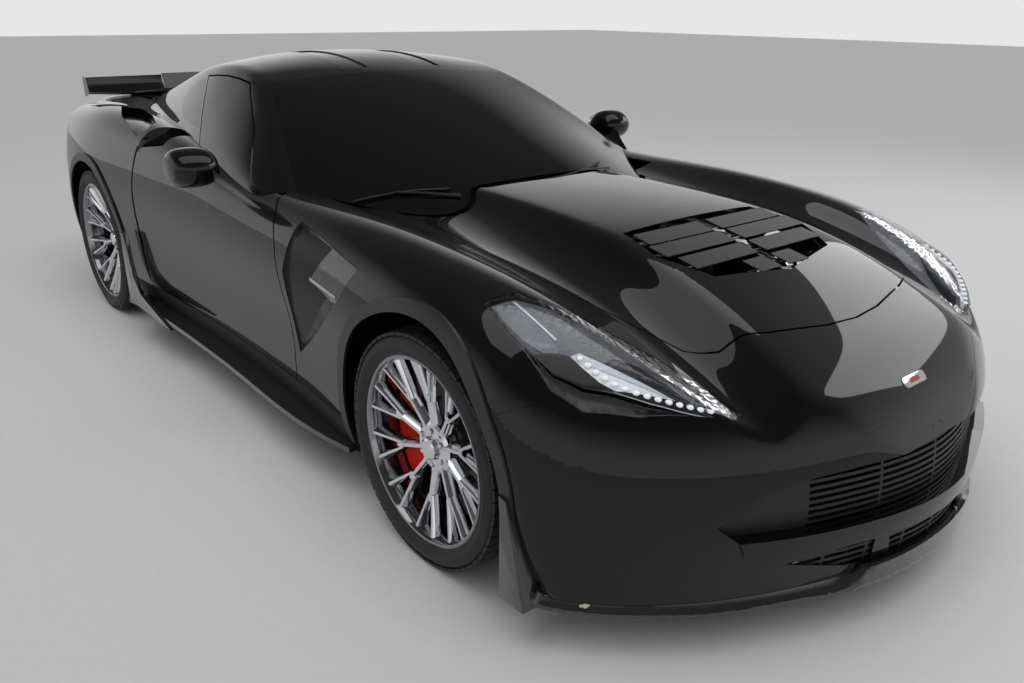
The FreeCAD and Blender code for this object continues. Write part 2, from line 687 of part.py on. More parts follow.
glass_in_door = 45.0
belt_points = 6


def doors():
    mirror = mirror_housing().cut(lower_body).cut(glasshouse)
    nodes["mirror_left"] = largest(mirror)
    window = ((272, 836), (150, 848), (0, 858), (-150, 884), (-266, 908), (-380, 932), (-470, 952),
              (-560, 1010), (-740, 1126), (-620, 1136), (-500, 1141), (-380, 1138), (-274, 1129), (0, 985))
    glass_shell = glasshouse.cut(glass_inner)
    sunk = [(x, z - glass_in_door if i < belt_points else z) for i, (x, z) in enumerate(window)]
    nodes["door_glass_left"] = largest(glass_shell.common(side_prism(sunk, 300, 1200)))
    for name in ("door", "door_glass", "mirror"):
        nodes[name + "_right"] = mirrored(nodes[name + "_left"])
    return sunk


roof_thickness = 12.0
roof_channel = ((-215, 120), (-215, 235), (-745, 215), (-745, 130))
channel_depth = 5.0


def glazing(window):
    quarter_window = ((-505, 950), (-640, 952), (-800, 965), (-900, 985), (-945, 1005), (-975, 1030),
                      (-960, 1060), (-880, 1098), (-776, 1122), (-600, 1014))
    shell = glasshouse.cut(roof_inner).cut(lower_full)
    pane_shell = glasshouse.cut(glass_inner).cut(lower_full)
    screen_edge = ((1000, 0), (1000, 900), (700, 905), (367, 762), (80, 664), (-196, 560), (-178, 400),
                   (-165, 200), (-160, 0))
    screen = plan_prism(list(screen_edge) + [(x, -y) for x, y in reversed(screen_edge[1:-1])], 500, 1500)
    quarter_pane = pane_shell.common(side_prism(quarter_window, 300, 1200))
    windscreen = pane_shell.common(screen).cut(box(-400, 2000, -1200, 1200, 0, 700))
    nodes["fixed_glass"] = Part.makeCompound([max(windscreen.Solids, key=lambda p: p.Volume),
                                              quarter_pane, mirrored(quarter_pane)])
    roof_half = ((-196, 0), (-210, 300), (-228, 480), (-500, 500), (-745, 490), (-760, 0))
    roof_line = list(roof_half) + [(x, -y) for x, y in reversed(roof_half[1:-1])]
    roof_region = plan_prism(roof_line, 1000, 1400)
    roof_gap = plan_prism(grown(roof_line, seam_gap), 1000, 1400)
    channel = both(plan_prism(roof_channel, 1000, 1400))
    roof_top = glasshouse.common(roof_region)
    channel_skin = top_layer(roof_top.common(channel), channel_depth)
    nodes["roof_panel"] = largest(top_layer(roof_top, roof_thickness).cut(channel_skin))
    opening = side_prism(grown(window, 6), 300, 1200)
    quarter_open = side_prism(grown(quarter_window, seat_clearance), 300, 1200)
    frame = shell.cut(both(opening)).cut(both(quarter_open)).cut(screen).cut(hatch_block(panel_gap))
    frame = frame.cut(roof_gap)
    frame = frame.common(box(-2300, 700, -1200, 1200, 700, 1400))
    frame = largest(frame)
    pin_z = roof_z(hatch_front_x) - hatch_hinge_drop
    half = neck_width / 2 + 5
    pocket_top = pin_z + neck_barrel_radius + 3
    pocket = box(hatch_front_x, hatch_hinge_x + 15, neck_y - half, neck_y + half, 1000, pocket_top)
    pin = disc_y(hatch_hinge_x, pin_z, hinge_pin_radius, neck_y - half - 1, neck_y + half + 1)
    nodes["roof_frame"] = frame.cut(both(pocket)).fuse([pin, mirrored(pin)])

    light_front = hatch_front_x - 40
    light = ((light_front, 0), (light_front, 408), (-1400, 425), (-1800, 405), (-1930, 330), (-1960, 0))
    light_full = list(light) + [(x, -y) for x, y in reversed(light[1:-1])]
    rear_region = hatch_block(0.0, 700.0)
    rear_block = lower_body.common(rear_region).fuse(glasshouse.common(rear_region))
    nodes["hatch_glass"] = top_layer(rear_block.common(plan_prism(light_full, 500, 1500)), glass_thickness)
    hatch = top_layer(rear_block, hatch_thickness)
    hatch = largest(hatch.cut(plan_prism(grown(light_full, seat_clearance), 500, 1500)))
    front_edge = [(hatch_front_x, hatch_front_half_width * k / 3) for k in (3, 2, 1, 0)]
    hatch = hatch.cut(swing_body(front_edge, hatch_hinge_x, pin_z, glasshouse))
    arm = goose_neck(hatch_hinge_x, pin_z, hatch_neck)
    under_skin = arm.common(moved(rear_block, z=1.0 - hatch_thickness))
    low_part = arm.common(box(-1000, -700, 0, 500, 900, pin_z - 18))
    near_pin = arm.common(box(hatch_front_x + 1, -700, 0, 500, 900, 1400))
    neck = fused([under_skin, low_part, near_pin])
    nodes["hatch_frame"] = fused([hatch, neck, mirrored(neck)])


tail_line = -2030.0
fin_places = (228.0, 276.0)
fin_thickness = 7.0


def rear():
    body = lower_body.common(box(tail_line, -540, 500, 1200, 0, 1300))
    body = body.cut(cabin_void).cut(cargo_void).cut(glasshouse).cut(rear_arch)
    body = body.cut(box(rocker_rear_x - seat_clearance, 0, 500, 1200, 0, rocker_top_z + seat_clearance))
    body = body.cut(box(-2300, bulkhead_x + 45, 0, cabin_half_width + 5, 0, cargo_floor_z))
    quarter = body.cut(door_block(door_gap, 500, 1200)).cut(hatch_block(panel_gap))
    taper_foot = (-806 - door_gap + 6, 945)
    taper = plan_prism([(-700, 1200), (-700, 700), (-712, 700), taper_foot, (-806, 1200)], 0, 1400)
    quarter = quarter.cut(taper)
    intake = plan_prism(quarter_intake, 700, 1200).cut(moved(lower_body, z=-intake_depth))
    nodes["quarters"] = both(largest(quarter.cut(intake)))
    tail_block = lower_body.common(box(-2400, tail_line - seam_gap, -1200, 1200, 0, 1300))
    hollow = lower_inner.common(moved(tail_wall_inner, x=34))
    tail = tail_block.cut(hollow.common(box(-2400, tail_line + 50, -1200, 1200, 0, 900)))
    tail_x0, tail_x1 = -2400.0, -1900.0
    lamps = (outer_lamp, inner_lamp)
    slots = [front_prism(points, tail_x0, tail_x1) for points in lamps]
    lenses = [front_prism(grown(points, -seat_clearance), tail_x0, tail_x1) for points in lamps]
    recesses = [front_prism(plate_recess, tail_x0, tail_x1), both(front_prism(tail_vent, tail_x0, tail_x1))]
    recess = fused(recesses).cut(moved(tail_wall, x=recess_depth))
    tail = tail.cut(both(fused(slots))).cut(hatch_block(panel_gap, 900.0)).cut(recess)
    tail = tail.cut(box(-2400, -2120, -330, 330, 100, 300))
    fins = [box(-2225, -2110, y - fin_thickness / 2, y + fin_thickness / 2, floor_z, 302) for y in fin_places]
    nodes["rear_fascia"] = largest(tail.fuse(both(fused(fins))))
    lens_band = moved(tail_wall, x=8).common(fused(lenses)).cut(moved(tail_wall, x=30))
    nodes["tail_lamps"] = both(lens_band)
    pipes = []
    for y in (-165, -58, 58, 165):
        outer = Part.makeCylinder(48, 330, V(-2235, y, 245), V(1, 0, 0))
        pipes.append(outer.cut(Part.makeCylinder(44, 260, V(-2236, y, 245), V(1, 0, 0))))
    muffler = box(-1930, -1600, -420, 420, undertray_top_z + seat_clearance, 320)
    nodes["exhaust"] = fused([muffler] + pipes)


cowl_drop = 24.0
cowl_thickness = 36.0
splitter_top_z = 130.0
grille_depth = 30.0
grille_thickness = 14.0
grille_bar = 8.0
mesh_half_width = 415.0
wheel_guard = ((1686, 390), (1718, 384), (1784, 119), (1643, 119))
guard_outer_y = 972.0
lamp_gap = 2.0
lens_thickness = 4.0
lamp_depth = 70.0
lamp_hollow = 42.0
lamp_unit_gap = 0.8
lamp_wall = 4.2


def lattice(half, low, high, pitch, upright_pitch):
    """Bars across the car from a low to a high edge, and the uprights that join them."""
    count = int((high - low) / pitch) + 1
    bars = [box(1800, 2400, -half, half, low + pitch * i, low + pitch * i + grille_bar) for i in range(count)]
    uprights = 2 * int(half / upright_pitch) + 1
    for i in range(uprights):
        y = (i - (uprights - 1) / 2) * upright_pitch
        bars.append(box(1800, 2400, y - grille_bar / 2, y + grille_bar / 2, low, high + grille_bar))
    return bars


def front_details():
    lip = ((1622, 962), (1742, 950), (1862, 878), (1967, 770), (2067, 632), (2145, 468), (2222, 268),
           (nose_x, 0))
    edge = [V(x, y, 118) for x, y in lip] + [V(x, -y, 118) for x, y in reversed(lip[:-1])]
    blade = sweep_prism(edge, [V(1560, -962, 118), V(1560, 962, 118)], V(0, 0, 12))
    blade = blade.cut(box(1400, 1800, -500, 500, 0, 400)).cut(both(box(1500, 1705, 560, 1200, 0, 300)))
    drop = floor_z - splitter_top_z
    dam = lower_body.common(box(1700, 2400, -1200, 1200, floor_z, floor_z + drop))
    dam = moved(dam, z=-drop - seat_clearance).cut(moved(lower_inner, x=-40, z=-drop - 20)).cut(arches)
    tongue = sweep_prism(edge, [V(1560, -962, 118), V(1560, 962, 118)], V(0, 0, 54))
    tongue = tongue.common(front_prism(both_halves(((300, 118), (262, 172)))))
    tongue = tongue.cut(moved(nose_wall, x=seat_clearance)).common(box(2100, 2400, -400, 400, 118, 172))
    guard = side_prism(wheel_guard, 905, guard_outer_y).cut(arches)
    guard = guard.cut(moved(lower_body, y=seat_clearance)).cut(moved(lower_body, z=-seat_clearance))
    nodes["splitter"] = largest(blade.fuse([dam, tongue, guard, mirrored(guard)]))
    mesh_region = front_prism(grown(mouth, -seat_clearance))
    blanks = box(1600, 2400, mesh_half_width, 1000, 0, 600)
    bars = lattice(mesh_half_width + grille_bar / 2, 309.0, 446.0, 17.0, mesh_half_width / 2)
    upper_band = moved(nose_wall, x=-grille_depth).cut(moved(nose_wall, x=-grille_depth - grille_thickness))
    upper = upper_band.common(mesh_region).common(fused(bars + [blanks, mirrored(blanks)]))
    backing = skin + seat_clearance
    lower_band = moved(nose_wall, x=-backing).cut(moved(nose_wall, x=-backing - grille_bar))
    lower = lower_band.common(fused(lattice(500.0, 170.0, 244.0, 18.0, 125.0)))
    nodes["grille"] = Part.makeCompound([largest(upper), largest(lower)])

    lens = top_layer(lower_body.common(lamp_block(lamp_gap - seat_clearance)), lens_thickness)
    nodes["headlamp_lenses"] = both(largest(lens))
    unit_grow = lamp_gap - lamp_unit_gap
    bucket = top_layer(lower_body.common(lamp_block(unit_grow)), lamp_depth, lens_thickness + seat_clearance)
    hollow = top_layer(lower_body.common(lamp_block(unit_grow - lamp_wall)), lamp_hollow)
    unit = bucket.cut(hollow).common(nose_wall_inner).cut(front_arch)
    nodes["headlamp_units"] = both(largest(unit))

    region = plan_prism([(firewall_x - 40, -700), (firewall_x - 40, 700), (690, 560), (900, 300), (930, 0),
                         (900, -300), (690, -560)], 500, 1000)
    nodes["cowl"] = largest(top_layer(lower_full.common(region), cowl_thickness, cowl_drop).cut(glasshouse))


winglet_outline = ((-925, 480), (-862, 470), (-832, 300), (-760, 235), (-420, 168), (-922, 168))

steering_centre = V(135, 370, 724)
steering_lean = 20.0
steering_axis = V(-math.cos(math.radians(steering_lean)), 0, math.sin(math.radians(steering_lean)))
steering_hub = 30.0


def structure():
    t = floor_thickness
    w = cabin_half_width
    floor = box(bulkhead_x, firewall_x + 20, -w, w, floor_z, floor_z + t)
    inside = moved(lower_inner, z=-14)
    rocker = lower_body.common(box(rocker_rear_x, rocker_front_x, 690, 1200, floor_z, rocker_top_z))
    rocker = rocker.cut(arches)
    firewall = inside.common(box(firewall_x, firewall_x + 30, -w, w, floor_z, 900))
    tunnel = box(bulkhead_x, firewall_x, -150, 150, floor_z, 430)
    tunnel = tunnel.cut(box(bulkhead_x - 1, firewall_x - 1, -125, 125, floor_z - 1, 405))
    bulkhead = box(bulkhead_x - 30, bulkhead_x, -w, w, floor_z, cargo_floor_z)
    cargo = box(cargo_rear_x, bulkhead_x, -600, 600, cargo_floor_z - 24, cargo_floor_z).cut(arches)
    pillar = inside.common(box(400, 470, 640, pillar_outer_y, floor_z, 900))
    rail = box(firewall_x, 1830, 440, 492, 300, 420)
    rear_rail = box(-2060, bulkhead_x, 440, 500, 400, cargo_floor_z - 20)
    crossbar = box(1790, 1862, -620, 620, 300, 400)
    radiator = box(1860, 1920, -380, 380, 190, 520)
    shelf_region = box(firewall_x + 15, 880, -520, 520, 500, 1000)
    shelf = top_layer(lower_full.common(shelf_region), 24.0, cowl_drop + cowl_thickness + seat_clearance)
    ears = []
    for y in (neck_y - neck_width / 2 - ear_gap - ear_thickness, neck_y + neck_width / 2 + ear_gap):
        ears.append(side_prism([(1880, 515), (1920, 515), (hood_hinge_x + 12, hood_hinge_z - 10),
                                (hood_hinge_x + 12, hood_hinge_z + 12), (hood_hinge_x - 12, hood_hinge_z + 12),
                                (hood_hinge_x - 25, hood_hinge_z - 25)], y, y + ear_thickness))
    reach = neck_width / 2 + ear_gap + ear_thickness
    ears.append(disc_y(hood_hinge_x, hood_hinge_z, hinge_pin_radius, neck_y - reach, neck_y + reach))
    under = box(firewall_x, 1860, -430, 430, floor_z, floor_z + 12)
    rear_under = box(-2060, bulkhead_x, -430, 430, undertray_top_z - 16, undertray_top_z)
    arms = []
    for z in hinge_heights:
        for z0 in (z - 6.5, z + hinge_length + 1.5):
            plate = [(hinge_x - 8, hinge_y + 8), (hinge_x + 8, hinge_y + 8), (440, pillar_outer_y - 2),
                     (404, pillar_outer_y - 2)]
            arms.append(plan_prism(plate, z0, z0 + 5))
        arms.append(Part.makeCylinder(hinge_pin_radius, hinge_length + 12, V(hinge_x, hinge_y, z - 6)))
    side = [rocker, pillar, rail, rear_rail] + arms + ears
    pieces = [floor, firewall, tunnel, bulkhead, cargo, crossbar, radiator, shelf, under, rear_under]
    pieces += side + [mirrored(p) for p in side]
    nodes["floor_tub"] = fused(pieces)
    nodes["engine_block"] = box(720, 1280, -290, 290, crossmember_top_z + seat_clearance, 650)
    skirt_outer = sweep_prism([V(930, 930, 160), V(700, 958, 160), (V(200, 952, 160)), V(-300, 950, 160),
                               V(-700, 962, 160), V(-925, 985, 160)],
                              [V(-925, 850, 160), V(925, 850, 160)], V(0, 0, 18))
    skirt = skirt_outer.cut(lower_body).common(box(-960, 960, 860, 1200, 0, 500))
    winglet = side_prism(winglet_outline, 966, 982).cut(lower_body).cut(arches)
    nodes["side_skirts"] = both(largest(skirt.fuse(winglet)))
    seat = []
    for x0, x1, z0, z1 in ((-520, -20, 250, 330), (-640, -500, 250, 900)):
        piece = box(x0, x1, 210, 640, z0, z1)
        seat.append(piece.makeFillet(30, piece.Edges))
    seats = fused(seat)
    base = box(-480, -60, 260, 600, floor_z + t, 260)
    dash = side_prism([(335, 600), (360, 690), (420, 738), (firewall_x - seat_clearance, 738),
                       (firewall_x - seat_clearance, 560), (400, 560)], 70 - pillar_outer_y, pillar_outer_y - 70)
    column_length = 230.0
    foot = steering_centre - steering_axis * column_length
    column = Part.makeCylinder(22, column_length - steering_hub / 2 - seat_clearance, foot, steering_axis)
    seat_set = fused([seats, base])
    nodes["interior"] = Part.makeCompound([seat_set, mirrored(seat_set), dash.fuse(column)])


def wheel(name, x, side, radius, width, rim_radius, track):
    yc = track / 2
    half = width / 2
    rim_half = half - 14
    inner_r = rim_radius - 14
    profile = [(inner_r + 12, -rim_half + 6), (radius - 40, -half), (radius - 8, -half + 22),
               (radius, -half + 46), (radius, half - 46), (radius - 8, half - 22), (radius - 40, half),
               (inner_r + 12, rim_half - 6), (inner_r, rim_half - 26), (inner_r, -rim_half + 26)]
    points = [V(0, b, a) for a, b in profile]
    tyre = Part.Face(Part.makePolygon(points + [points[0]])).revolve(V(0, 0, 0), V(0, 1, 0), 360)
    barrel = [(rim_radius, rim_half), (rim_radius - 12, rim_half), (inner_r - rim_wall, rim_half - 26),
              (inner_r - rim_wall, -rim_half + 20), (rim_radius - 8, -rim_half), (rim_radius, -rim_half),
              (inner_r, -rim_half + 26), (inner_r, rim_half - 26)]
    points = [V(0, b, a) for a, b in barrel]
    rim = Part.Face(Part.makePolygon(points + [points[0]])).revolve(V(0, 0, 0), V(0, 1, 0), 360)
    spokes = []
    hub_y = 48.0
    dish = [V(0, hub_y, 0), V(0, hub_y, hub_radius), V(0, rim_half - 34, inner_r - 4),
            V(0, rim_half - 6, inner_r - 4), V(0, hub_y + 34, hub_radius), V(0, hub_y + 30, 0)]
    envelope = Part.Face(Part.makePolygon(dish + [dish[0]])).revolve(V(0, 0, 0), V(0, 1, 0), 360)
    count = 10
    for i in range(count):
        a = 2 * math.pi * i / count
        spoke = side_prism([(-15, hub_radius - 20), (15, hub_radius - 20), (11, 150), (-11, 150)], 0, 200)
        left = side_prism([(-11, 140), (2, 140), (-20, inner_r), (-34, inner_r)], 0, 200)
        right = side_prism([(11, 140), (-2, 140), (20, inner_r), (34, inner_r)], 0, 200)
        piece = fused([spoke, left, right]).common(envelope)
        piece.rotate(V(0, 0, 0), V(0, 1, 0), math.degrees(a))
        spokes.append(piece)
    hub = Part.makeCylinder(hub_radius, 36, V(0, hub_y - 2, 0), V(0, 1, 0))
    rim = fused([rim, hub] + spokes)
    disc = disc_y(0, 0, disc_radius, disc_offset - disc_thickness / 2, disc_offset + disc_thickness / 2)
    hat = Part.makeCylinder(92, hub_y - 2 - disc_offset, V(0, disc_offset, 0), V(0, 1, 0))
    disc = disc.fuse(hat)
    for label, shape in (("rim", rim), ("tyre", tyre), ("disc", disc)):
        shape = shape.copy()
        shape.translate(V(x, yc, radius))
        nodes[label + "_" + name] = shape if side > 0 else mirrored(shape)


def caliper(x, z, track, turn):
    yc = track / 2
    inner, outer = 140.0, 226.0
    points = []
    for k in range(9):
        a = math.radians(-32 + 8 * k)
        points.append((outer * math.cos(a), outer * math.sin(a)))
    for k in range(9):
        a = math.radians(32 - 8 * k)
        points.append((inner * math.cos(a), inner * math.sin(a)))
    block = side_prism(points, disc_offset - 58, disc_offset + 50)
    slot_half = disc_thickness / 2 + 5
    block = block.cut(disc_y(0, 0, disc_radius + 6, disc_offset - slot_half, disc_offset + slot_half))
    block.rotate(V(0, 0, 0), V(0, 1, 0), turn)
    block.translate(V(x, yc, z))
    return block


upright_low_z = 228.0
upright_high_z = 464.0


def running_gear():
    for name, side in (("left", 1), ("right", -1)):
        wheel("front_" + name, front_axle_x, side, front_tyre_radius, front_tyre_width, front_rim_radius,
              front_track)
        wheel("rear_" + name, rear_axle_x, side, rear_tyre_radius, rear_tyre_width, rear_rim_radius,
              rear_track)
    x, z, yc = front_axle_x, front_tyre_radius, front_track / 2
    disc_back = yc + disc_offset - disc_thickness / 2
    upright = box(x - 32, x + 32, 700, disc_back - 8, upright_low_z, upright_high_z)
    stub = Part.makeCylinder(48, disc_back - 0.5 - 700, V(x, 700, z), V(0, 1, 0))
    lug = box(x - 190, x - 20, disc_back - 40, disc_back - 8, 300, 380)
    knuckle = fused([upright, stub, lug])
    front_caliper = caliper(x, z, front_track, 180 - 12)
    nodes["knuckle_left"] = knuckle.cut(front_caliper)
    nodes["knuckle_right"] = mirrored(nodes["knuckle_left"])
    nodes["caliper_left"] = front_caliper
    nodes["caliper_right"] = mirrored(front_caliper)
    rear_caliper = caliper(rear_axle_x, rear_tyre_radius, rear_track, 14)
    nodes["rear_calipers"] = both(rear_caliper)
    arms = []
    for z0, z1 in ((upright_low_z - 32, upright_low_z - 6), (upright_high_z + 6, upright_high_z + 28)):
        corners = [(x - 120, 440), (x + 120, 440), (x + 14, kingpin_y), (x - 14, kingpin_y)]
        ball_joint = Part.makeCylinder(14, z1 - z0, V(x, kingpin_y, z0))
        arms.append(plan_prism(corners, z0, z1).fuse(ball_joint))
    stud = 6 - seat_clearance
    arms.append(Part.makeCylinder(10, stud, V(x, kingpin_y, upright_low_z - 6)))
    arms.append(Part.makeCylinder(10, stud, V(x, kingpin_y, upright_high_z + seat_clearance)))
    rear_x, rear_z = rear_axle_x, rear_tyre_radius
    rear_back = rear_track / 2 + disc_offset - disc_thickness / 2
    hub_carrier = box(rear_x - 40, rear_x + 40, 640, rear_back - 8, 190, 500)
    rear_stub = Part.makeCylinder(48, rear_back - 0.5 - 640, V(rear_x, 640, rear_z), V(0, 1, 0))
    rear_lug = box(rear_x + 20, rear_x + 190, rear_back - 40, rear_back - 8, 300, 400)
    rear_arms = [box(rear_x - 90, rear_x + 90, 440, 640, z0, z0 + 24) for z0 in (200, 466)]
    carrier = fused([hub_carrier, rear_stub, rear_lug] + rear_arms).cut(rear_caliper)
    front_cross = box(x - 60, x + 60, -445, 445, 165, crossmember_top_z)
    towers = box(x - 120, x + 120, 420, 440, 162, 500)
    rear_cross = box(rear_x - 60, rear_x + 60, -445, 445, 187, 290)
    rear_towers = box(rear_x - 90, rear_x + 90, 420, 440, 187, 500)
    front = fused([front_cross] + arms + [towers] + [mirrored(p) for p in arms + [towers]])
    back = fused([rear_cross, rear_towers, mirrored(rear_towers), carrier, mirrored(carrier)])
    tub = nodes["floor_tub"]
    nodes["suspension"] = Part.makeCompound([front.cut(tub), back.cut(tub)])
    wheel_ring = Part.makeTorus(178, 15, V(0, 0, 0), V(0, 0, 1))
    hub = Part.makeCylinder(48, steering_hub, V(0, 0, -steering_hub / 2))
    spokes = [box(-172, 172, -14, 14, -8, 8), box(-14, 14, -172, 0, -8, 8)]
    steering = fused([wheel_ring, hub] + spokes)
    steering.rotate(V(0, 0, 0), V(0, 1, 0), steering_lean - 90)
    steering.translate(steering_centre)
    nodes["steering_wheel"] = steering


spoiler_half_width = 690.0
spoiler_foot_z = 948.0
spoiler_top_z = 1030.0
spoiler_wall = 10.0
clear_half_width = 268.0
clear_top_z = 1038.0


def spoiler():
    """A deck spoiler with end plates, on feet on the hatch and clear of the panels beside it."""
    w, z = spoiler_half_width, spoiler_foot_z
    rear = tail_x - lip_reach
    base = [(-2060, -560), (-2060, 560), (-2190, w), (rear + 30, w), (rear + 30, -w), (-2190, -w)]
    base = plan_prism(base, z, z + spoiler_wall)
    blade = side_prism([(rear + 52, z), (rear + 12, spoiler_top_z - 34), (rear + 6, spoiler_top_z),
                        (rear, spoiler_top_z), (rear + 6, spoiler_top_z - 36), (rear + 30, z)], -w, w)
    blade = blade.cut(box(-2400, -2000, -clear_half_width, clear_half_width, z + spoiler_wall, 1200))
    end_line = [(-2180, z), (rear, z - 20), (rear, spoiler_top_z + 4), (-2205, spoiler_top_z + 4)]
    end = side_prism(end_line, w - 5, w)
    wing = fused([base, blade, end, mirrored(end)]).cut(moved(lower_body, z=panel_gap + 1))
    wing = wing.cut(moved(glasshouse, z=panel_gap + 1))
    feet = box(-2180, -2080, -480, 480, z - 60, z + 2).cut(lower_body).cut(glasshouse)
    nodes["spoiler"] = largest(wing.fuse(feet))
    c = clear_half_width - seat_clearance
    foot = z + spoiler_wall + seat_clearance
    pane = [(rear + 48, foot), (rear + 12, clear_top_z), (rear + 7, clear_top_z), (rear + 43, foot)]
    nodes["spoiler_window"] = side_prism(pane, -c, c)


panels()
glazing(doors())
rear()
front_details()
structure()
running_gear()
spoiler()
os.makedirs("parts", exist_ok=True)
for name, shape in nodes.items():
    print(name, shape.isValid(), len(shape.Solids), round(shape.Volume / 1e6, 1))
    shape.exportStep("parts/" + name + ".step")
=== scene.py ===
import json
import math

import bmesh
import bpy
import numpy as np
from mathutils import Matrix, Vector
from mathutils.bvhtree import BVHTree
from mathutils.interpolate import poly_3d_calc

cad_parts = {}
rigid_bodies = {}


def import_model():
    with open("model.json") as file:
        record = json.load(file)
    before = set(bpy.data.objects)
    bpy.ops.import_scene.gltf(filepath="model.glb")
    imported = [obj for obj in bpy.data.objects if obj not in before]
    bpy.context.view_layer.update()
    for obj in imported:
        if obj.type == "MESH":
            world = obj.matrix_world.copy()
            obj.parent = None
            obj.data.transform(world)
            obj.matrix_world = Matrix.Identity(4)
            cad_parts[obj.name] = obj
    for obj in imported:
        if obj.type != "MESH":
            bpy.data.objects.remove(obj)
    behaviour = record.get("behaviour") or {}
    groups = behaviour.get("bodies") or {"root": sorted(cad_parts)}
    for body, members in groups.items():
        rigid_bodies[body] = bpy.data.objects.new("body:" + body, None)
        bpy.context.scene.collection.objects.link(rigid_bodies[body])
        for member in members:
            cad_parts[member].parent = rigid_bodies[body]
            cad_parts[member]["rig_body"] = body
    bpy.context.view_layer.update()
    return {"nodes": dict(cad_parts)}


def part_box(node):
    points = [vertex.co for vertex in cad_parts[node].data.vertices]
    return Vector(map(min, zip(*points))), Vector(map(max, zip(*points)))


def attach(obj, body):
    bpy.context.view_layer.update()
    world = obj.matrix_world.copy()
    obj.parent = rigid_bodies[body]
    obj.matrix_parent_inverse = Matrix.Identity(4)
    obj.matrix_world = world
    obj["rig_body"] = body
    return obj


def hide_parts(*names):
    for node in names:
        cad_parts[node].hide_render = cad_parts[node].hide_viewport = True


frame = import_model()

nodes = frame["nodes"]
bodyOf = {name: node["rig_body"] for name, node in nodes.items()}
scene = bpy.context.scene
scene.view_settings.view_transform = "Standard"

# Camera: solved from the photograph, 1024 by 683 pixels, in metres and degrees
photoCamera = {
    "place": (3.0168, -2.0431, 1.4181),
    "heading": 140.10,
    "pitch": -21.10,
    "roll": 0.636,
    "focalPixels": 870.6,
    "imageWidth": 1024,
}


def placed(name, data):
    shown = bpy.data.objects.new(name, data)
    scene.collection.objects.link(shown)
    return shown


def makeCamera(view):
    a, e, r = (math.radians(view[k]) for k in ("heading", "pitch", "roll"))
    ahead = Vector((math.cos(a) * math.cos(e), math.sin(a) * math.cos(e), math.sin(e)))
    right = ahead.cross(Vector((0, 0, 1))).normalized()
    up = right.cross(ahead)
    tiltRight = right * math.cos(r) + up * math.sin(r)
    tiltUp = up * math.cos(r) - right * math.sin(r)
    data = bpy.data.cameras.new("photoCamera")
    data.sensor_width = 36.0
    data.lens = view["focalPixels"] / view["imageWidth"] * data.sensor_width
    data.clip_end = 200.0
    camera = placed("photoCamera", data)
    turn = Matrix((tiltRight, tiltUp, -ahead)).transposed()
    camera.matrix_world = Matrix.Translation(Vector(view["place"])) @ turn.to_4x4()
    scene.camera = camera


makeCamera(photoCamera)

# Materials: grain holds the bump's strength and scale, then the speckle's strength and scale

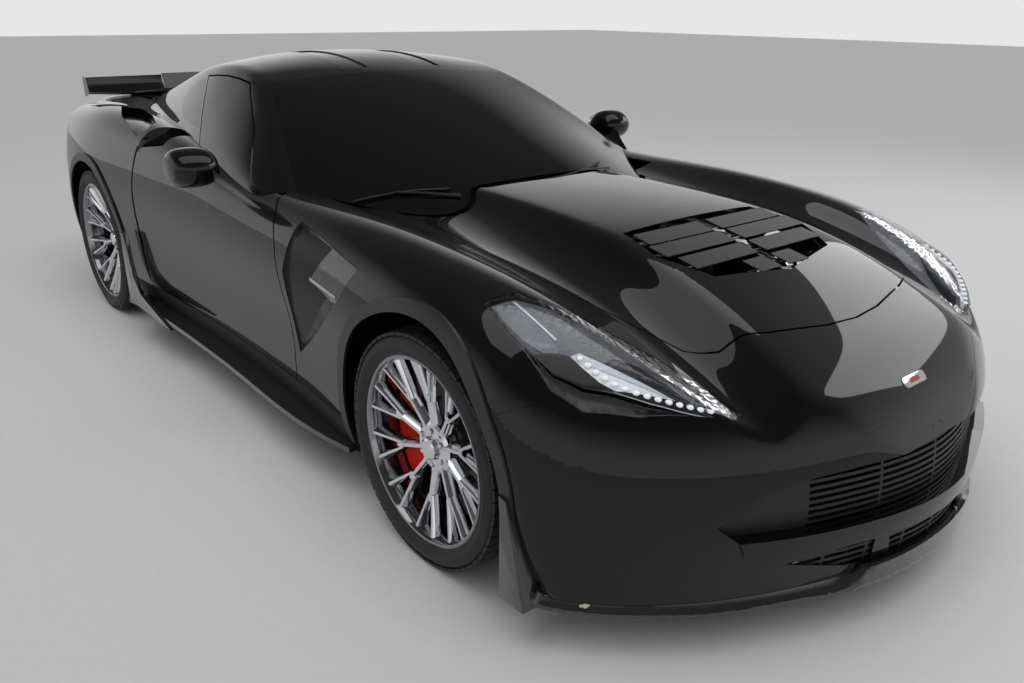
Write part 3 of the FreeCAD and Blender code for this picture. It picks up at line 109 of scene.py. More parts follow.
finishes = {
    "blackPaint": {"color": (0.0022, 0.0022, 0.0027), "roughness": 0.4, "specular": 0.06, "coat": 1.0,
                   "coatRoughness": 0.02, "coatIor": 1.42, "grain": (0.012, 420.0, 0.35, 900.0)},
    "satinBlack": {"color": (0.011, 0.011, 0.012), "roughness": 0.38, "grain": (0.05, 600.0, 0.3, 300.0)},
    "glossBlack": {"color": (0.005, 0.005, 0.0055), "roughness": 0.12, "coat": 0.8, "coatRoughness": 0.04,
                   "grain": (0.01, 300.0, 0.3, 200.0)},
    "carbonBlack": {"color": (0.016, 0.016, 0.018), "roughness": 0.2, "coat": 1.0, "coatRoughness": 0.05,
                    "grain": (0.02, 500.0, 0.7, 260.0)},
    "matteBlack": {"color": (0.012, 0.012, 0.012), "roughness": 0.75, "grain": (0.15, 250.0, 0.4, 90.0)},
    # painted shade: a near-black, weakly reflecting finish for the recessed inside of the side outlets
    "outletPaintedShade": {"color": (0.002, 0.002, 0.0022), "roughness": 0.3, "specular": 0.25,
                    "grain": (0.02, 300.0, 0.3, 200.0)},
    "meshBlack": {"color": (0.006, 0.006, 0.006), "roughness": 0.45, "grain": (0.1, 700.0, 0.3, 200.0)},
    "tyreRubber": {"color": (0.013, 0.013, 0.0135), "roughness": 0.62, "grain": (0.22, 380.0, 0.45, 60.0)},
    "chrome": {"color": (0.76, 0.77, 0.79), "roughness": 0.05, "metallic": 1.0,
               "grain": (0.01, 120.0, 0.06, 40.0)},
    # painted shade: a darker copy of chrome for the rim barrel, which sits deep inside the wheel
    "barrelChromePaintedShade": {"color": (0.3, 0.305, 0.315), "roughness": 0.09, "metallic": 1.0,
                  "grain": (0.02, 120.0, 0.1, 40.0)},
    "brightSteel": {"color": (0.55, 0.55, 0.56), "roughness": 0.22, "metallic": 1.0,
                    "grain": (0.05, 200.0, 0.2, 50.0)},
    "brakeIron": {"color": (0.16, 0.155, 0.15), "roughness": 0.33, "metallic": 0.9,
                  "grain": (0.08, 260.0, 0.4, 70.0)},
    "castMetal": {"color": (0.22, 0.22, 0.23), "roughness": 0.5, "metallic": 0.85,
                  "grain": (0.3, 160.0, 0.3, 40.0)},
    "caliperRed": {"color": (0.8, 0.02, 0.006), "roughness": 0.4, "specular": 0.15, "coat": 0.15,
                   "coatRoughness": 0.08, "grain": (0.05, 200.0, 0.15, 60.0)},
    "darkGlass": {"color": (0.003, 0.0028, 0.003), "roughness": 0.05, "specular": 0.42,
                  "grain": (0.0, 100.0, 0.2, 20.0)},
    "smokedPlastic": {"color": (0.02, 0.02, 0.023), "roughness": 0.06, "coat": 0.5, "coatRoughness": 0.02,
                      "grain": (0.0, 100.0, 0.2, 20.0)},
    "lampRed": {"color": (0.16, 0.004, 0.004), "roughness": 0.08, "coat": 1.0, "coatRoughness": 0.02,
                "grain": (0.25, 260.0, 0.5, 180.0)},
    "lampSilver": {"color": (0.13, 0.13, 0.14), "roughness": 0.42, "metallic": 0.3,
                   "grain": (0.1, 420.0, 0.2, 200.0)},
    "lampDark": {"color": (0.003, 0.003, 0.0035), "roughness": 0.24, "specular": 0.3, "coat": 0.2,
                 "coatRoughness": 0.05, "grain": (0.05, 300.0, 0.3, 100.0)},
    "lampWhite": {"color": (0.6, 0.62, 0.66), "roughness": 0.2, "metallic": 0.2, "coat": 1.0,
                  "coatRoughness": 0.03, "glow": 0.06, "grain": (0.8, 130.0, 0.25, 160.0)},
    "cabinTrim": {"color": (0.012, 0.012, 0.012), "roughness": 0.6, "grain": (0.35, 500.0, 0.3, 120.0)},
    "lampBead": {"color": (0.86, 0.88, 0.92), "roughness": 0.1, "coat": 1.0, "coatRoughness": 0.03,
                 "glow": 0.1, "grain": (0.3, 300.0, 0.1, 160.0)},
    "lampMist": {"color": (0.12, 0.12, 0.13), "roughness": 0.25, "metallic": 0.6, "coat": 0.5,
                 "coatRoughness": 0.05, "grain": (0.4, 130.0, 0.35, 60.0)},
    "mirrorSilver": {"color": (0.75, 0.76, 0.78), "roughness": 0.02, "metallic": 1.0,
                     "grain": (0.0, 100.0, 0.02, 20.0)},
    "bareFiller": {"color": (0.5, 0.46, 0.36), "roughness": 0.8, "grain": (0.4, 400.0, 0.35, 300.0)},
    "badgeRed": {"color": (0.3, 0.008, 0.008), "roughness": 0.2, "coat": 0.8, "coatRoughness": 0.04,
                 "grain": (0.05, 300.0, 0.1, 100.0)},
}
clearLensLook = {"color": (0.9, 0.92, 0.95), "roughness": 0.02, "coat": 0.3, "coatRoughness": 0.01,
                 "grain": (0.0, 100.0, 0.02, 30.0), "refraction": 1.12}
wireMeshLook = {"color": (0.02, 0.02, 0.02), "roughness": 0.4, "grain": (0.0, 100.0, 0.2, 200.0),
                "holeScale": 95.0, "holeDepth": 0.002, "hole": (0.42, (0.0015, 0.0015, 0.0015, 1)),
                "wire": (0.5, (0.035, 0.035, 0.037, 1))}
speckleDetail, bumpDetail, bumpDistance = 3.0, 2.0, 0.001


def feed(tree, node, values):  # each value is a number, or the socket of another node to link from
    for key, value in values.items():
        if isinstance(value, bpy.types.NodeSocket):
            tree.links.new(value, node.inputs[key])
        else:
            node.inputs[key].default_value = value
    return node


def addNode(tree, kind, values):
    return feed(tree, tree.nodes.new(kind), values)


def addNoise(tree, place, scale, detail):
    values = {"Vector": place, "Scale": scale, "Detail": detail}
    return addNode(tree, "ShaderNodeTexNoise", values).outputs["Fac"]


def setStops(ramp, *stops):
    for element, (position, color) in zip(ramp.color_ramp.elements, stops):
        element.position, element.color = position, color


def makeFinish(name, look):
    material = bpy.data.materials.new(name)
    material.use_nodes = True
    tree = material.node_tree
    color = look["color"]
    bump, bumpScale, speckle, speckleScale = look["grain"]
    shader = feed(tree, tree.nodes["Principled BSDF"], {
        "Roughness": look["roughness"], "Metallic": look.get("metallic", 0.0),
        "Coat Weight": look.get("coat", 0.0), "Coat Roughness": look.get("coatRoughness", 0.03),
        "Coat IOR": look.get("coatIor", 1.45), "Specular IOR Level": look.get("specular", 0.5)})
    if look.get("glow"):
        feed(tree, shader, {"Emission Color": (*color, 1), "Emission Strength": look["glow"]})
    place = tree.nodes.new("ShaderNodeTexCoord").outputs["Object"]
    grain = addNoise(tree, place, speckleScale, speckleDetail)
    shade = tree.nodes.new("ShaderNodeMix")
    shade.data_type = "RGBA"
    feed(tree, shade, {"A": (*[c * (1 - speckle) for c in color], 1),
                       "B": (*[min(1.0, c * (1 + speckle)) for c in color], 1), "Factor": grain})
    feed(tree, shader, {"Base Color": shade.outputs["Result"]})
    if bump:
        ripple = addNoise(tree, place, bumpScale, bumpDetail)
        relief = addNode(tree, "ShaderNodeBump", {"Strength": bump, "Distance": bumpDistance, "Height": ripple})
        feed(tree, shader, {"Normal": relief.outputs["Normal"]})
    return material


def makeClearLens(look):
    material = makeFinish("clearLens", look)
    tree = material.node_tree
    feed(tree, tree.nodes["Principled BSDF"], {"Transmission Weight": 1.0, "IOR": look["refraction"]})
    return material


def makeWireMesh(look):
    material = makeFinish("wireMesh", look)
    tree = material.node_tree
    place = tree.nodes["Texture Coordinate"].outputs["Object"]
    values = {"Scale": look["holeScale"], "Randomness": 0.0, "Vector": place}
    holes = addNode(tree, "ShaderNodeTexVoronoi", values).outputs["Distance"]
    ramp = addNode(tree, "ShaderNodeValToRGB", {"Fac": holes})
    setStops(ramp, look["hole"], look["wire"])
    relief = addNode(tree, "ShaderNodeBump", {"Distance": look["holeDepth"], "Height": holes})
    feed(tree, tree.nodes["Principled BSDF"], {"Base Color": ramp.outputs["Color"],
                                               "Normal": relief.outputs["Normal"]})
    return material


finish = {name: makeFinish(name, look) for name, look in finishes.items()}
finish["clearLens"] = makeClearLens(clearLensLook)
finish["wireMesh"] = makeWireMesh(wireMeshLook)
print("materials made:", len(finish))

# Body surfaces: the same lines that shape the panels, as (place along the car, value) in millimetres


def through(keys):
    keys = sorted(keys)
    xs, ys = np.array([k[0] for k in keys], float), np.array([k[1] for k in keys], float)
    slopes = np.diff(ys) / np.diff(xs)
    tangents = np.zeros(len(xs))
    tangents[0], tangents[-1] = slopes[0], slopes[-1]
    for i in range(1, len(xs) - 1):
        a, b = slopes[i - 1], slopes[i]
        tangents[i] = 0.0 if a * b <= 0 else 2 * a * b / (a + b)

    def value(x):
        if x <= xs[0]:
            return ys[0] + tangents[0] * (x - xs[0])
        if x >= xs[-1]:
            return ys[-1] + tangents[-1] * (x - xs[-1])
        i = int(np.searchsorted(xs, x, side="right") - 1)
        h = xs[i + 1] - xs[i]
        t = (x - xs[i]) / h
        return (ys[i] * (1 + 2 * t) * (1 - t) ** 2 + tangents[i] * h * t * (1 - t) ** 2
                + ys[i + 1] * t * t * (3 - 2 * t) + tangents[i + 1] * h * t * t * (t - 1))

    return value


noseX, tailX, floorZ = 2257.0, -2257.0, 150.0
# Lower body lines, each as its height or half width along the car
centreZ = through([(-2350, 935), (-2000, 945), (-1400, 930), (-600, 880), (300, 855), (760, 868), (1150, 858),
                    (1450, 838), (1650, 798), (1850, 728), (2010, 652), (2130, 590), (2200, 505), (2260, 400),
                    (2350, 220)])
domeY = through([(-2350, 330), (-600, 300), (600, 290), (1300, 325), (1750, 370), (2100, 400), (2350, 420)])
domeDrop = through([(-2350, 5), (-600, 5), (200, 10), (620, 52), (1100, 52), (1500, 44), (1750, 26), (1950, 14),
                     (2350, 10)])
valleyY = through([(-2350, 560), (-600, 560), (600, 520), (1300, 520), (1750, 500), (2100, 500), (2350, 520)])
valleyZ = through([(-2350, 935), (-2000, 945), (-1400, 935), (-600, 870), (300, 800), (900, 780), (1317, 745),
                    (1600, 700), (1800, 648), (1950, 598), (2080, 540), (2180, 470), (2350, 250)])
crestY = through([(-2350, 730), (-2000, 755), (-1400, 800), (-900, 812), (-300, 835), (400, 800), (1000, 800),
                   (1317, 800), (1600, 775), (1800, 735), (2000, 660), (2350, 600)])
crestZ = through([(-2350, 890), (-2000, 918), (-1600, 952), (-1300, 962), (-900, 945), (-500, 915), (-100, 868),
                   (350, 838), (900, 838), (1317, 812), (1500, 785), (1700, 725), (1900, 640), (2060, 560),
                   (2350, 330)])
shoulderY = through([(-2350, 840), (-2000, 885), (-1400, 925), (-900, 912), (-400, 905), (300, 900), (800, 915),
                      (1317, 930), (1700, 925), (2000, 870), (2350, 790)])
shoulderZ = through([(-2350, 800), (-1800, 845), (-1400, 865), (-900, 835), (-300, 770), (400, 750), (900, 745),
                      (1317, 735), (1700, 665), (2000, 560), (2350, 400)])
widestY = through([(-2350, 870), (-2000, 930), (-1650, 968), (-1393, 980), (-1000, 962), (-600, 945), (0, 925),
                    (500, 930), (900, 955), (1317, 978), (1650, 975), (1900, 940), (2350, 850)])
widestZ = through([(-2350, 640), (-1400, 690), (-700, 660), (400, 620), (1317, 610), (1700, 560), (2350, 420)])
waistY = through([(-2350, 860), (-2000, 920), (-1650, 962), (-1393, 972), (-1000, 945), (-600, 912), (0, 892),
                   (500, 897), (900, 930), (1317, 958), (1650, 962), (1900, 940), (2350, 850)])
lowY = through([(-2350, 850), (-1900, 910), (-1393, 955), (-1000, 940), (-500, 905), (0, 893), (500, 905),
                 (900, 935), (1317, 955), (1650, 960), (1900, 940), (2350, 850)])
waistZ = 440.0
lowZ = 250.0
sillInset = 40.0
bodyStations = (-2350, -2130, -1900, -1650, -1400, -1100, -750, -400, -50, 300, 620, 930, 1220, 1460, 1650,
                 1820, 1970, 2100, 2220, 2350)


def bodySection(x):
    cz, dy, drop = centreZ(x), domeY(x), domeDrop(x)
    vy, vz = valleyY(x), valleyZ(x)
    cy, cr = crestY(x), crestZ(x)
    sy, sz = shoulderY(x), shoulderZ(x)
    footZ = cz - 18 - max(drop - 26, 0)
    return [
        (0, cz),
        (0.5 * dy, cz - 3),
        (dy - 14, cz - 10),
        (dy + 12, cz - 18),
        (dy + 70, 0.25 * footZ + 0.75 * (vz + 8)),
        (vy, vz),
        (0.55 * vy + 0.45 * cy, 0.6 * vz + 0.4 * cr),
        (cy - 75, cr - 2),
        (cy + 5, cr + 2),
        (0.5 * (cy + sy) + 18, 0.5 * (cr + sz) + 14),
        (sy + 4, sz),
        (widestY(x), widestZ(x)),
        (waistY(x), waistZ),
        (lowY(x), lowZ),
        (lowY(x) - sillInset, floorZ),
    ]


# Plan outline of the nose and tail walls, and how far each height leans back from it
nosePlan = ((500, 1150), (1300, 1080), (1500, 1030), (1640, 992), (1760, 955), (1880, 880), (1985, 760),
             (2075, 620), (2150, 460), (2218, 260), (2250, 110), (noseX, 0))
noseLean = ((60, -25), (118, -18), (200, -8), (300, 0), (400, -6), (480, -22), (560, -62), (640, -130),
             (740, -260), (860, -460), (1000, -720))
tailPlan = ((-500, 1150), (-1400, 1100), (-1650, 1010), (-1820, 945), (-1960, 870), (-2080, 770), (-2165, 640),
             (-2220, 460), (-2245, 240), (tailX + 5, 0))
tailLean = ((60, 160), (118, 120), (220, 60), (330, 22), (450, 4), (560, 0), (660, 10), (760, 30), (860, 42),
             (940, 40), (1100, 30))

# Glasshouse lines
roofZ = through([(1000, 760), (820, 835), (400, 985), (-160, 1170), (-350, 1212), (-560, 1232), (-800, 1222),
                  (-1100, 1174), (-1500, 1090), (-1900, 1000), (-2150, 935)])
pillarY = through([(1000, 875), (820, 890), (367, 795), (-210, 596), (-400, 568), (-700, 555), (-1100, 520),
                    (-1500, 480), (-1900, 440), (-2150, 400)])
pillarZ = through([(1000, 500), (820, 600), (367, 838), (-210, 1148), (-400, 1180), (-600, 1184), (-800, 1168),
                    (-1100, 1106), (-1500, 1018), (-1900, 940), (-2150, 860)])
beltY = through([(1000, 890), (820, 900), (367, 880), (-210, 850), (-560, 800), (-1000, 715), (-1500, 620),
                  (-1900, 560), (-2150, 520)])
beltHeight = 840.0
glassStations = (1000, 820, 600, 367, 80, -210, -400, -600, -850, -1100, -1500, -1900, -2150)


def glassSection(x):
    rz, py, pz, by = roofZ(x), pillarY(x), pillarZ(x), beltY(x)
    bz = min(beltHeight, pz - 60)
    dy, dz = by - py, bz - pz
    return [
        (0, rz),
        (0.30 * py, rz - 0.06 * (rz - pz)),
        (0.62 * py, rz - 0.36 * (rz - pz)),
        (0.90 * py, rz - 0.83 * (rz - pz)),
        (py, pz),
        (py + 0.16 * dy + 4, pz + 0.16 * dz),
        (py + 0.55 * dy + 16, pz + 0.55 * dz),
        (by, bz),
        (by - 25, bz - 90),
        (by - 140, floorZ),
    ]


millimetre = 0.001
castHeight = 2.0  # above the whole car, in metres


def curveWeights(count, samples):  # clamped cubic weights and their slopes at even steps
    knots = np.array([0.0] * 3 + list(range(count - 2)) + [count - 3.0] * 3)
    t = np.linspace(0, count - 3 - 1e-9, samples)
    level = [((t >= knots[i]) & (t < knots[i + 1])).astype(float) for i in range(len(knots) - 1)]
    for degree in (1, 2, 3):
        below = level
        level = []
        for i in range(len(below) - 1):
            rise, fall = knots[i + degree] - knots[i], knots[i + degree + 1] - knots[i + 1]
            left = (t - knots[i]) / rise * below[i] if rise else 0 * t
            right = (knots[i + degree + 1] - t) / fall * below[i + 1] if fall else 0 * t
            level.append(left + right)
    slopes = []
    for i in range(count):
        rise, fall = knots[i + 3] - knots[i], knots[i + 4] - knots[i + 1]
        left = 3 / rise * below[i] if rise else 0 * t
        right = 3 / fall * below[i + 1] if fall else 0 * t
        slopes.append(left - right)
    return np.array(level).T, np.array(slopes).T


class BodySurface:
    def __init__(self, rows, alongSamples, acrossSamples, outward):
        poles = np.array(rows, float) * millimetre
        wu, du = curveWeights(poles.shape[0], alongSamples)
        wv, dv = curveWeights(poles.shape[1], acrossSamples)
        grid, along, across = (np.einsum("ai,ijk,bj->abk", u, poles, v)
                               for u, v in ((wu, wv), (du, wv), (wu, dv)))
        normals = np.cross(along, across)
        normals /= np.linalg.norm(normals, axis=2, keepdims=True) + 1e-12
        if np.dot(normals[alongSamples // 2, acrossSamples // 2], outward) < 0:
            normals = -normals
        self.faces = []
        for i in range(alongSamples - 1):
            for a in range(i * acrossSamples, (i + 1) * acrossSamples - 1):
                b = a + acrossSamples
                self.faces += [(a, a + 1, b + 1), (a, b + 1, b)]
        self.points = [Vector(p) for p in grid.reshape(-1, 3)]
        self.normals = normals.reshape(-1, 3)
        self.tree = BVHTree.FromPolygons(self.points, self.faces)

    def normalAt(self, place, face):
        corners = self.faces[face]
        weights = poly_3d_calc([self.points[c] for c in corners], place)
        return Vector(sum(w * self.normals[c] for w, c in zip(weights, corners))).normalized()

    def nearest(self, place, reach):
        hit, _, face, distance = self.tree.find_nearest(place, reach)
        return None if hit is None else (hit, self.normalAt(hit, face), distance)

    def along(self, start, direction):
        hit, _, face, _ = self.tree.ray_cast(Vector(start), Vector(direction))
        return None if hit is None else (hit, self.normalAt(hit, face))

    def under(self, x, y):  # what a plumb line at x, y in millimetres meets
        return self.along((x * millimetre, y * millimetre, castHeight), (0, 0, -1))


def sectionRows(stations, section):
    rows = []
    for x in stations:
        half = section(x)
        rows.append([(x, -y, z) for y, z in reversed(half)] + [(x, y, z) for y, z in half[1:]])
    return rows


def wallRows(plan, leans):
    rows = []
    for z, lean in leans:
        half = [(x + lean, y) for x, y in plan]
        rows.append([(x, -y, z) for x, y in half] + [(x, y, z) for x, y in reversed(half[:-1])])
    return rows


lowerSurface = BodySurface(sectionRows(bodyStations, bodySection), 420, 260, (0, 0, 1))
roofSurface = BodySurface(sectionRows(glassStations, glassSection), 240, 160, (0, 0, 1))
noseSurface = BodySurface(wallRows(nosePlan, noseLean), 90, 240, (1, 0, 0))
tailSurface = BodySurface(wallRows(tailPlan, tailLean), 90, 200, (-1, 0, 0))
print("body surfaces ready")

# Makers shared by all pieces


def bareObject(name, mesh):
    data = bpy.data.meshes.new(name)
    mesh.to_mesh(data)
    mesh.free()
    return placed(name, data)


def copyOfNode(name):
    mesh = bmesh.new()
    mesh.from_mesh(nodes[name].data)
    return mesh


def cleaned(mesh, gap):
    bmesh.ops.remove_doubles(mesh, verts=mesh.verts, dist=gap)
    bmesh.ops.dissolve_degenerate(mesh, edges=mesh.edges, dist=1e-6)


def finishedObject(name, mesh, material, softAngle=32.0, turnOut=True):
    cleaned(mesh, 1e-5)
    if turnOut:
        bmesh.ops.recalc_face_normals(mesh, faces=mesh.faces)
    shown = bareObject(name, mesh)
    shown.data.materials.append(material)
    shown.data.shade_smooth()
    shown.data.set_sharp_from_angle(angle=math.radians(softAngle))
    return shown


def spot(x, y, z):  # a point given in millimetres
    return Vector((x, y, z)) * millimetre


def turnSteps(count):
    return [2 * math.pi * k / count for k in range(count)]


def fit(piece, body, slot, *replaced):
    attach(piece, body)
    if replaced:
        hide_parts(*replaced)
    return piece


# Painted panels: the CAD pieces, cut finer and given the exact lie of the surfaces that shaped them
# In metres and radians; facing is a face's three cosines to a surface added up, sameLie that of two surfaces
panelLook = {"weld": 2e-5, "onSurface": 0.0009, "reach": 0.004, "longestEdge": 0.022, "passes": 5,
             "softEdge": 0.016, "rimAngle": 0.7, "onSurfaceSlack": 1.6, "facing": 2.2, "sameLie": 0.995,
             "behind": -0.001}


def closest(place, surfaces, reach):  # the number of the nearest surface, from 1, and what was found on it
    best = (0, None)
    for k, surface in enumerate(surfaces, 1):
        found = surface.nearest(place, reach)
        if found and (best[1] is None or found[2] < best[1][2]):
            best = (k, found)
    return best


def splitLongEdges(mesh, long):
    bmesh.ops.subdivide_edges(mesh, edges=long, cuts=1)
    bmesh.ops.triangulate(mesh, faces=[f for f in mesh.faces if len(f.verts) > 3])


def refinedCopy(name, surfaces, look):
    mesh = copyOfNode(name)
    cleaned(mesh, look["weld"])
    side = mesh.verts.layers.int.new("side")
    for v in mesh.verts:
        v[side] = closest(v.co, surfaces, look["onSurface"])[0]
    for _ in range(look["passes"]):
        long = [e for e in mesh.edges if e.verts[0][side] and e.verts[1][side]
                and e.calc_length() > look["longestEdge"]]
        if not long:
            break
        before = set(mesh.verts)
        splitLongEdges(mesh, long)
        for v in [v for v in mesh.verts if v not in before]:
            v[side], found = closest(v.co, surfaces, look["reach"])
            if found and not any(len(e.link_faces) == 2 and e.calc_face_angle(0) > look["rimAngle"]
                                 for e in v.link_edges):
                v.co = found[0]
    return mesh


def shadedObject(name, mesh, surfaces, look, material):
    nearest = [[surface.nearest(v.co, look["softEdge"]) for surface in surfaces] for v in mesh.verts]
    shown = bareObject(name, mesh)
    near = look["onSurface"] * look["onSurfaceSlack"]
    normals = []
    for polygon in shown.data.polygons:
        flat = Vector(polygon.normal)
        corners = [nearest[i] for i in polygon.vertices]
        chosen = None
        for k in range(len(surfaces)):
            if (all(row[k] and row[k][2] < near for row in corners)
                    and sum(row[k][1].dot(flat) for row in corners) > look["facing"]):
                chosen = k
        for row in corners:
            if chosen is None:
                normals.append(flat)
                continue
            here, lie = row[chosen][0], row[chosen][1].copy()
            for k, other in enumerate(row):
                if k != chosen and other and other[1].dot(row[chosen][1]) < look["sameLie"]:
                    share = 0.5 * (1 - other[2] / look["softEdge"]) ** 2
                    if other[1].dot(other[0] - here) > look["behind"]:
                        lie = lie * (1 - share) + other[1] * share
            normals.append(lie.normalized())
    shown.data.polygons.foreach_set("use_smooth", [True] * len(shown.data.polygons))
    shown.data.normals_split_custom_set(normals)
    shown.data.materials.append(material)
    return shown


lower, roof = [lowerSurface], [roofSurface]
front, rear, back = [lowerSurface, noseSurface], [lowerSurface, tailSurface], [roofSurface, lowerSurface]
panels = {
    ("blackPaint", "black_paint"): {
        "hood": front, "front_fascia": front, "fenders": front, "door_left": lower, "door_right": lower,
        "quarters": rear, "rear_fascia": rear, "roof_frame": roof, "roof_panel": roof, "hatch_frame": back},
    ("darkGlass", "tinted_glass"): {
        "fixed_glass": roof, "door_glass_left": roof, "door_glass_right": roof, "hatch_glass": back},
    ("clearLens", "clear_lens"): {"headlamp_lenses": front},
}
for (look, slot), pieces in panels.items():
    for name, surfaces in pieces.items():
        mesh = refinedCopy(name, surfaces, panelLook)
        fit(shadedObject(name + "_skin", mesh, surfaces, panelLook, finish[look]), bodyOf[name], slot, name)
print("panels shaded")

# Makers of the smaller pieces


def smoothCopy(name, look, slot, softAngle=35.0):
    shown = finishedObject(name + "_smooth", copyOfNode(name), finish[look], softAngle, turnOut=False)
    return fit(shown, bodyOf[name], slot, name)


def paintShadeInside(shown, surface, look):  # painted shade: all but the bridge that lies in the body's surface get a near-black finish that reflects little
    shown.data.materials.append(finish["outletPaintedShade"])
    for polygon in shown.data.polygons:
        found = surface.nearest(polygon.center, look["reach"])
        if polygon.center.x < look["bridgeX"] or (found and found[2] > look["depth"]):
            polygon.material_index = 1


def joinRings(mesh, a, b):
    for i in range(len(a)):
        j = (i + 1) % len(a)
        mesh.faces.new((a[i], a[j], b[j], b[i]))


def addRings(mesh, sections):
    return [[mesh.verts.new(point) for point in section] for section in sections]


def loft(mesh, sections):
    rings = addRings(mesh, sections)
    for a, b in zip(rings, rings[1:]):
        joinRings(mesh, a, b)
    mesh.faces.new(list(reversed(rings[0])))
    mesh.faces.new(rings[-1])


def closedLoft(mesh, sections):
    rings = addRings(mesh, sections)
    for k, ring in enumerate(rings):
        joinRings(mesh, ring, rings[(k + 1) % len(rings)])


def revolved(name, profile, centre, outward, steps, material, softAngle=30.0):
    mesh = bmesh.new()
    closedLoft(mesh, [[centre + spot(r * math.sin(a), outward * y, r * math.cos(a)) for r, y in profile]
                      for a in turnSteps(steps)])
    return finishedObject(name, mesh, material, softAngle)


def slab(mesh, normals, thickness):  # closes a sheet into a slab of even thickness
    faces = list(mesh.faces)
    rim = [e for e in mesh.edges if e.is_boundary]
    under = {v: mesh.verts.new(v.co - normals[v] * thickness) for v in list(mesh.verts)}
    for face in faces:
        mesh.faces.new([under[v] for v in reversed(face.verts)])
    for edge in rim:
        a, b = edge.verts
        mesh.faces.new((a, b, under[b], under[a]))


# Where an outline's points lie, the way they are cast, and how far out they start
castLine = {"plan": ((0, 1), (0, 0, -1), castHeight), "left": ((0, 2), (0, -1, 0), 2.0),
            "right": ((0, 2), (0, 1, 0), -2.0)}


def surfacePatch(name, surface, view, outline, lift, thickness, look, longest=0.014, softAngle=40.0, passes=6):
    axes, direction, start = castLine[view]
    mesh = bmesh.new()
    corners = []
    for point in outline:
        place = [start if d else 0.0 for d in direction]
        place[axes[0]], place[axes[1]] = point[0] * millimetre, point[1] * millimetre
        corners.append(mesh.verts.new(place))
    mesh.faces.new(corners)
    bmesh.ops.triangulate(mesh, faces=mesh.faces[:])
    for _ in range(passes):
        long = [e for e in mesh.edges if e.calc_length() > longest]
        if not long:
            break
        splitLongEdges(mesh, long)
        bmesh.ops.beautify_fill(mesh, faces=mesh.faces[:], edges=[e for e in mesh.edges if not e.is_boundary])
    normals = {}
    for v in list(mesh.verts):
        found = surface.along(v.co, direction)
        if found is None:
            mesh.verts.remove(v)
            continue
        v.co = found[0] + found[1] * lift * millimetre
        normals[v] = found[1]
    slab(mesh, normals, thickness * millimetre)
    return finishedObject(name, mesh, finish[look], softAngle)


def turnedTo(side, outline):
    return list(outline) if side > 0 else [(x, -y) for x, y in outline]


# Geometry Nodes: copies round an axle, blades in a row, and beads along a line


def newTree(name, sockets):
    tree = bpy.data.node_groups.new(name, "GeometryNodeTree")
    for label, kind in {"Piece": "Geometry", **sockets}.items():
        tree.interface.new_socket(label, in_out="INPUT", socket_type="NodeSocket" + kind)
    tree.interface.new_socket("Pieces", in_out="OUTPUT", socket_type="NodeSocketGeometry")
    return tree, tree.nodes.new("NodeGroupInput").outputs


def endTree(tree, copies, material):
    realize = addNode(tree, "GeometryNodeRealizeInstances", {"Geometry": copies.outputs["Instances"]})
    paintAll = addNode(tree, "GeometryNodeSetMaterial", {"Geometry": realize.outputs["Geometry"],
                                                         "Material": material})
    addNode(tree, "NodeGroupOutput", {"Pieces": paintAll.outputs["Geometry"]})
    return tree


def mathNode(tree, operation, a, b):
    node = tree.nodes.new("ShaderNodeMath")
    node.operation = operation
    return feed(tree, node, {0: a, 1: b}).outputs[0]


def vectorNode(tree, values):
    return addNode(tree, "ShaderNodeCombineXYZ", values).outputs["Vector"]


def aroundTree(material):
    tree, given = newTree("aroundAxle", {"Count": "Int", "Centre": "Vector"})
    points = addNode(tree, "GeometryNodeMeshLine", {"Offset": (0, 0, 0), "Count": given["Count"],
                                                    "Start Location": given["Centre"]})
    share = mathNode(tree, "DIVIDE", tree.nodes.new("GeometryNodeInputIndex").outputs[0], given["Count"])
    turn = vectorNode(tree, {"Y": mathNode(tree, "MULTIPLY", share, 2 * math.pi)})
    copies = addNode(tree, "GeometryNodeInstanceOnPoints", {
        "Points": points.outputs["Mesh"], "Instance": given["Piece"], "Rotation": turn})
    return endTree(tree, copies, material)


def bladeTree(material):
    tree, given = newTree("bladesInARow", {"Length": "Float", "Thickness": "Float", "Lean": "Float"})
    size = vectorNode(tree, {"X": given["Length"], "Y": 1.0, "Z": given["Thickness"]})
    blade = addNode(tree, "GeometryNodeMeshCube", {"Size": size})
    reach = addNode(tree, "GeometryNodeInputNamedAttribute", {"Name": "reach"})
    copies = addNode(tree, "GeometryNodeInstanceOnPoints", {
        "Points": given["Piece"], "Instance": blade.outputs["Mesh"],
        "Rotation": vectorNode(tree, {"Y": given["Lean"]}),
        "Scale": vectorNode(tree, {"X": 1.0, "Y": reach.outputs["Attribute"], "Z": 1.0})})
    return endTree(tree, copies, material)


def beadTree(material):
    tree, given = newTree("beadsAlongLine", {"Spacing": "Float", "Radius": "Float", "Flatness": "Float"})
    curve = addNode(tree, "GeometryNodeMeshToCurve", {"Mesh": given["Piece"]})
    spread = tree.nodes.new("GeometryNodeResampleCurve")
    spread.mode = "LENGTH"
    feed(tree, spread, {"Curve": curve.outputs["Curve"], "Length": given["Spacing"]})
    bead = addNode(tree, "GeometryNodeMeshIcoSphere", {"Subdivisions": 2, "Radius": given["Radius"]})
    copies = addNode(tree, "GeometryNodeInstanceOnPoints", {
        "Points": spread.outputs["Curve"], "Instance": bead.outputs["Mesh"],
        "Scale": vectorNode(tree, {"X": 1.0, "Y": 1.0, "Z": given["Flatness"]})})
    return endTree(tree, copies, material)


def growFrom(piece, tree, values):
    modifier = piece.modifiers.new("repeat", "NODES")
    modifier.node_group = tree
    for item in tree.interface.items_tree:
        if item.item_type == "SOCKET" and item.in_out == "INPUT" and item.name in values:
            modifier[item.identifier] = values[item.name]
    evaluated = piece.evaluated_get(bpy.context.evaluated_depsgraph_get())
    plain = bpy.data.meshes.new_from_object(evaluated)
    piece.modifiers.remove(modifier)
    piece.data = plain
    plain.set_sharp_from_angle(angle=math.radians(35))
    return piece
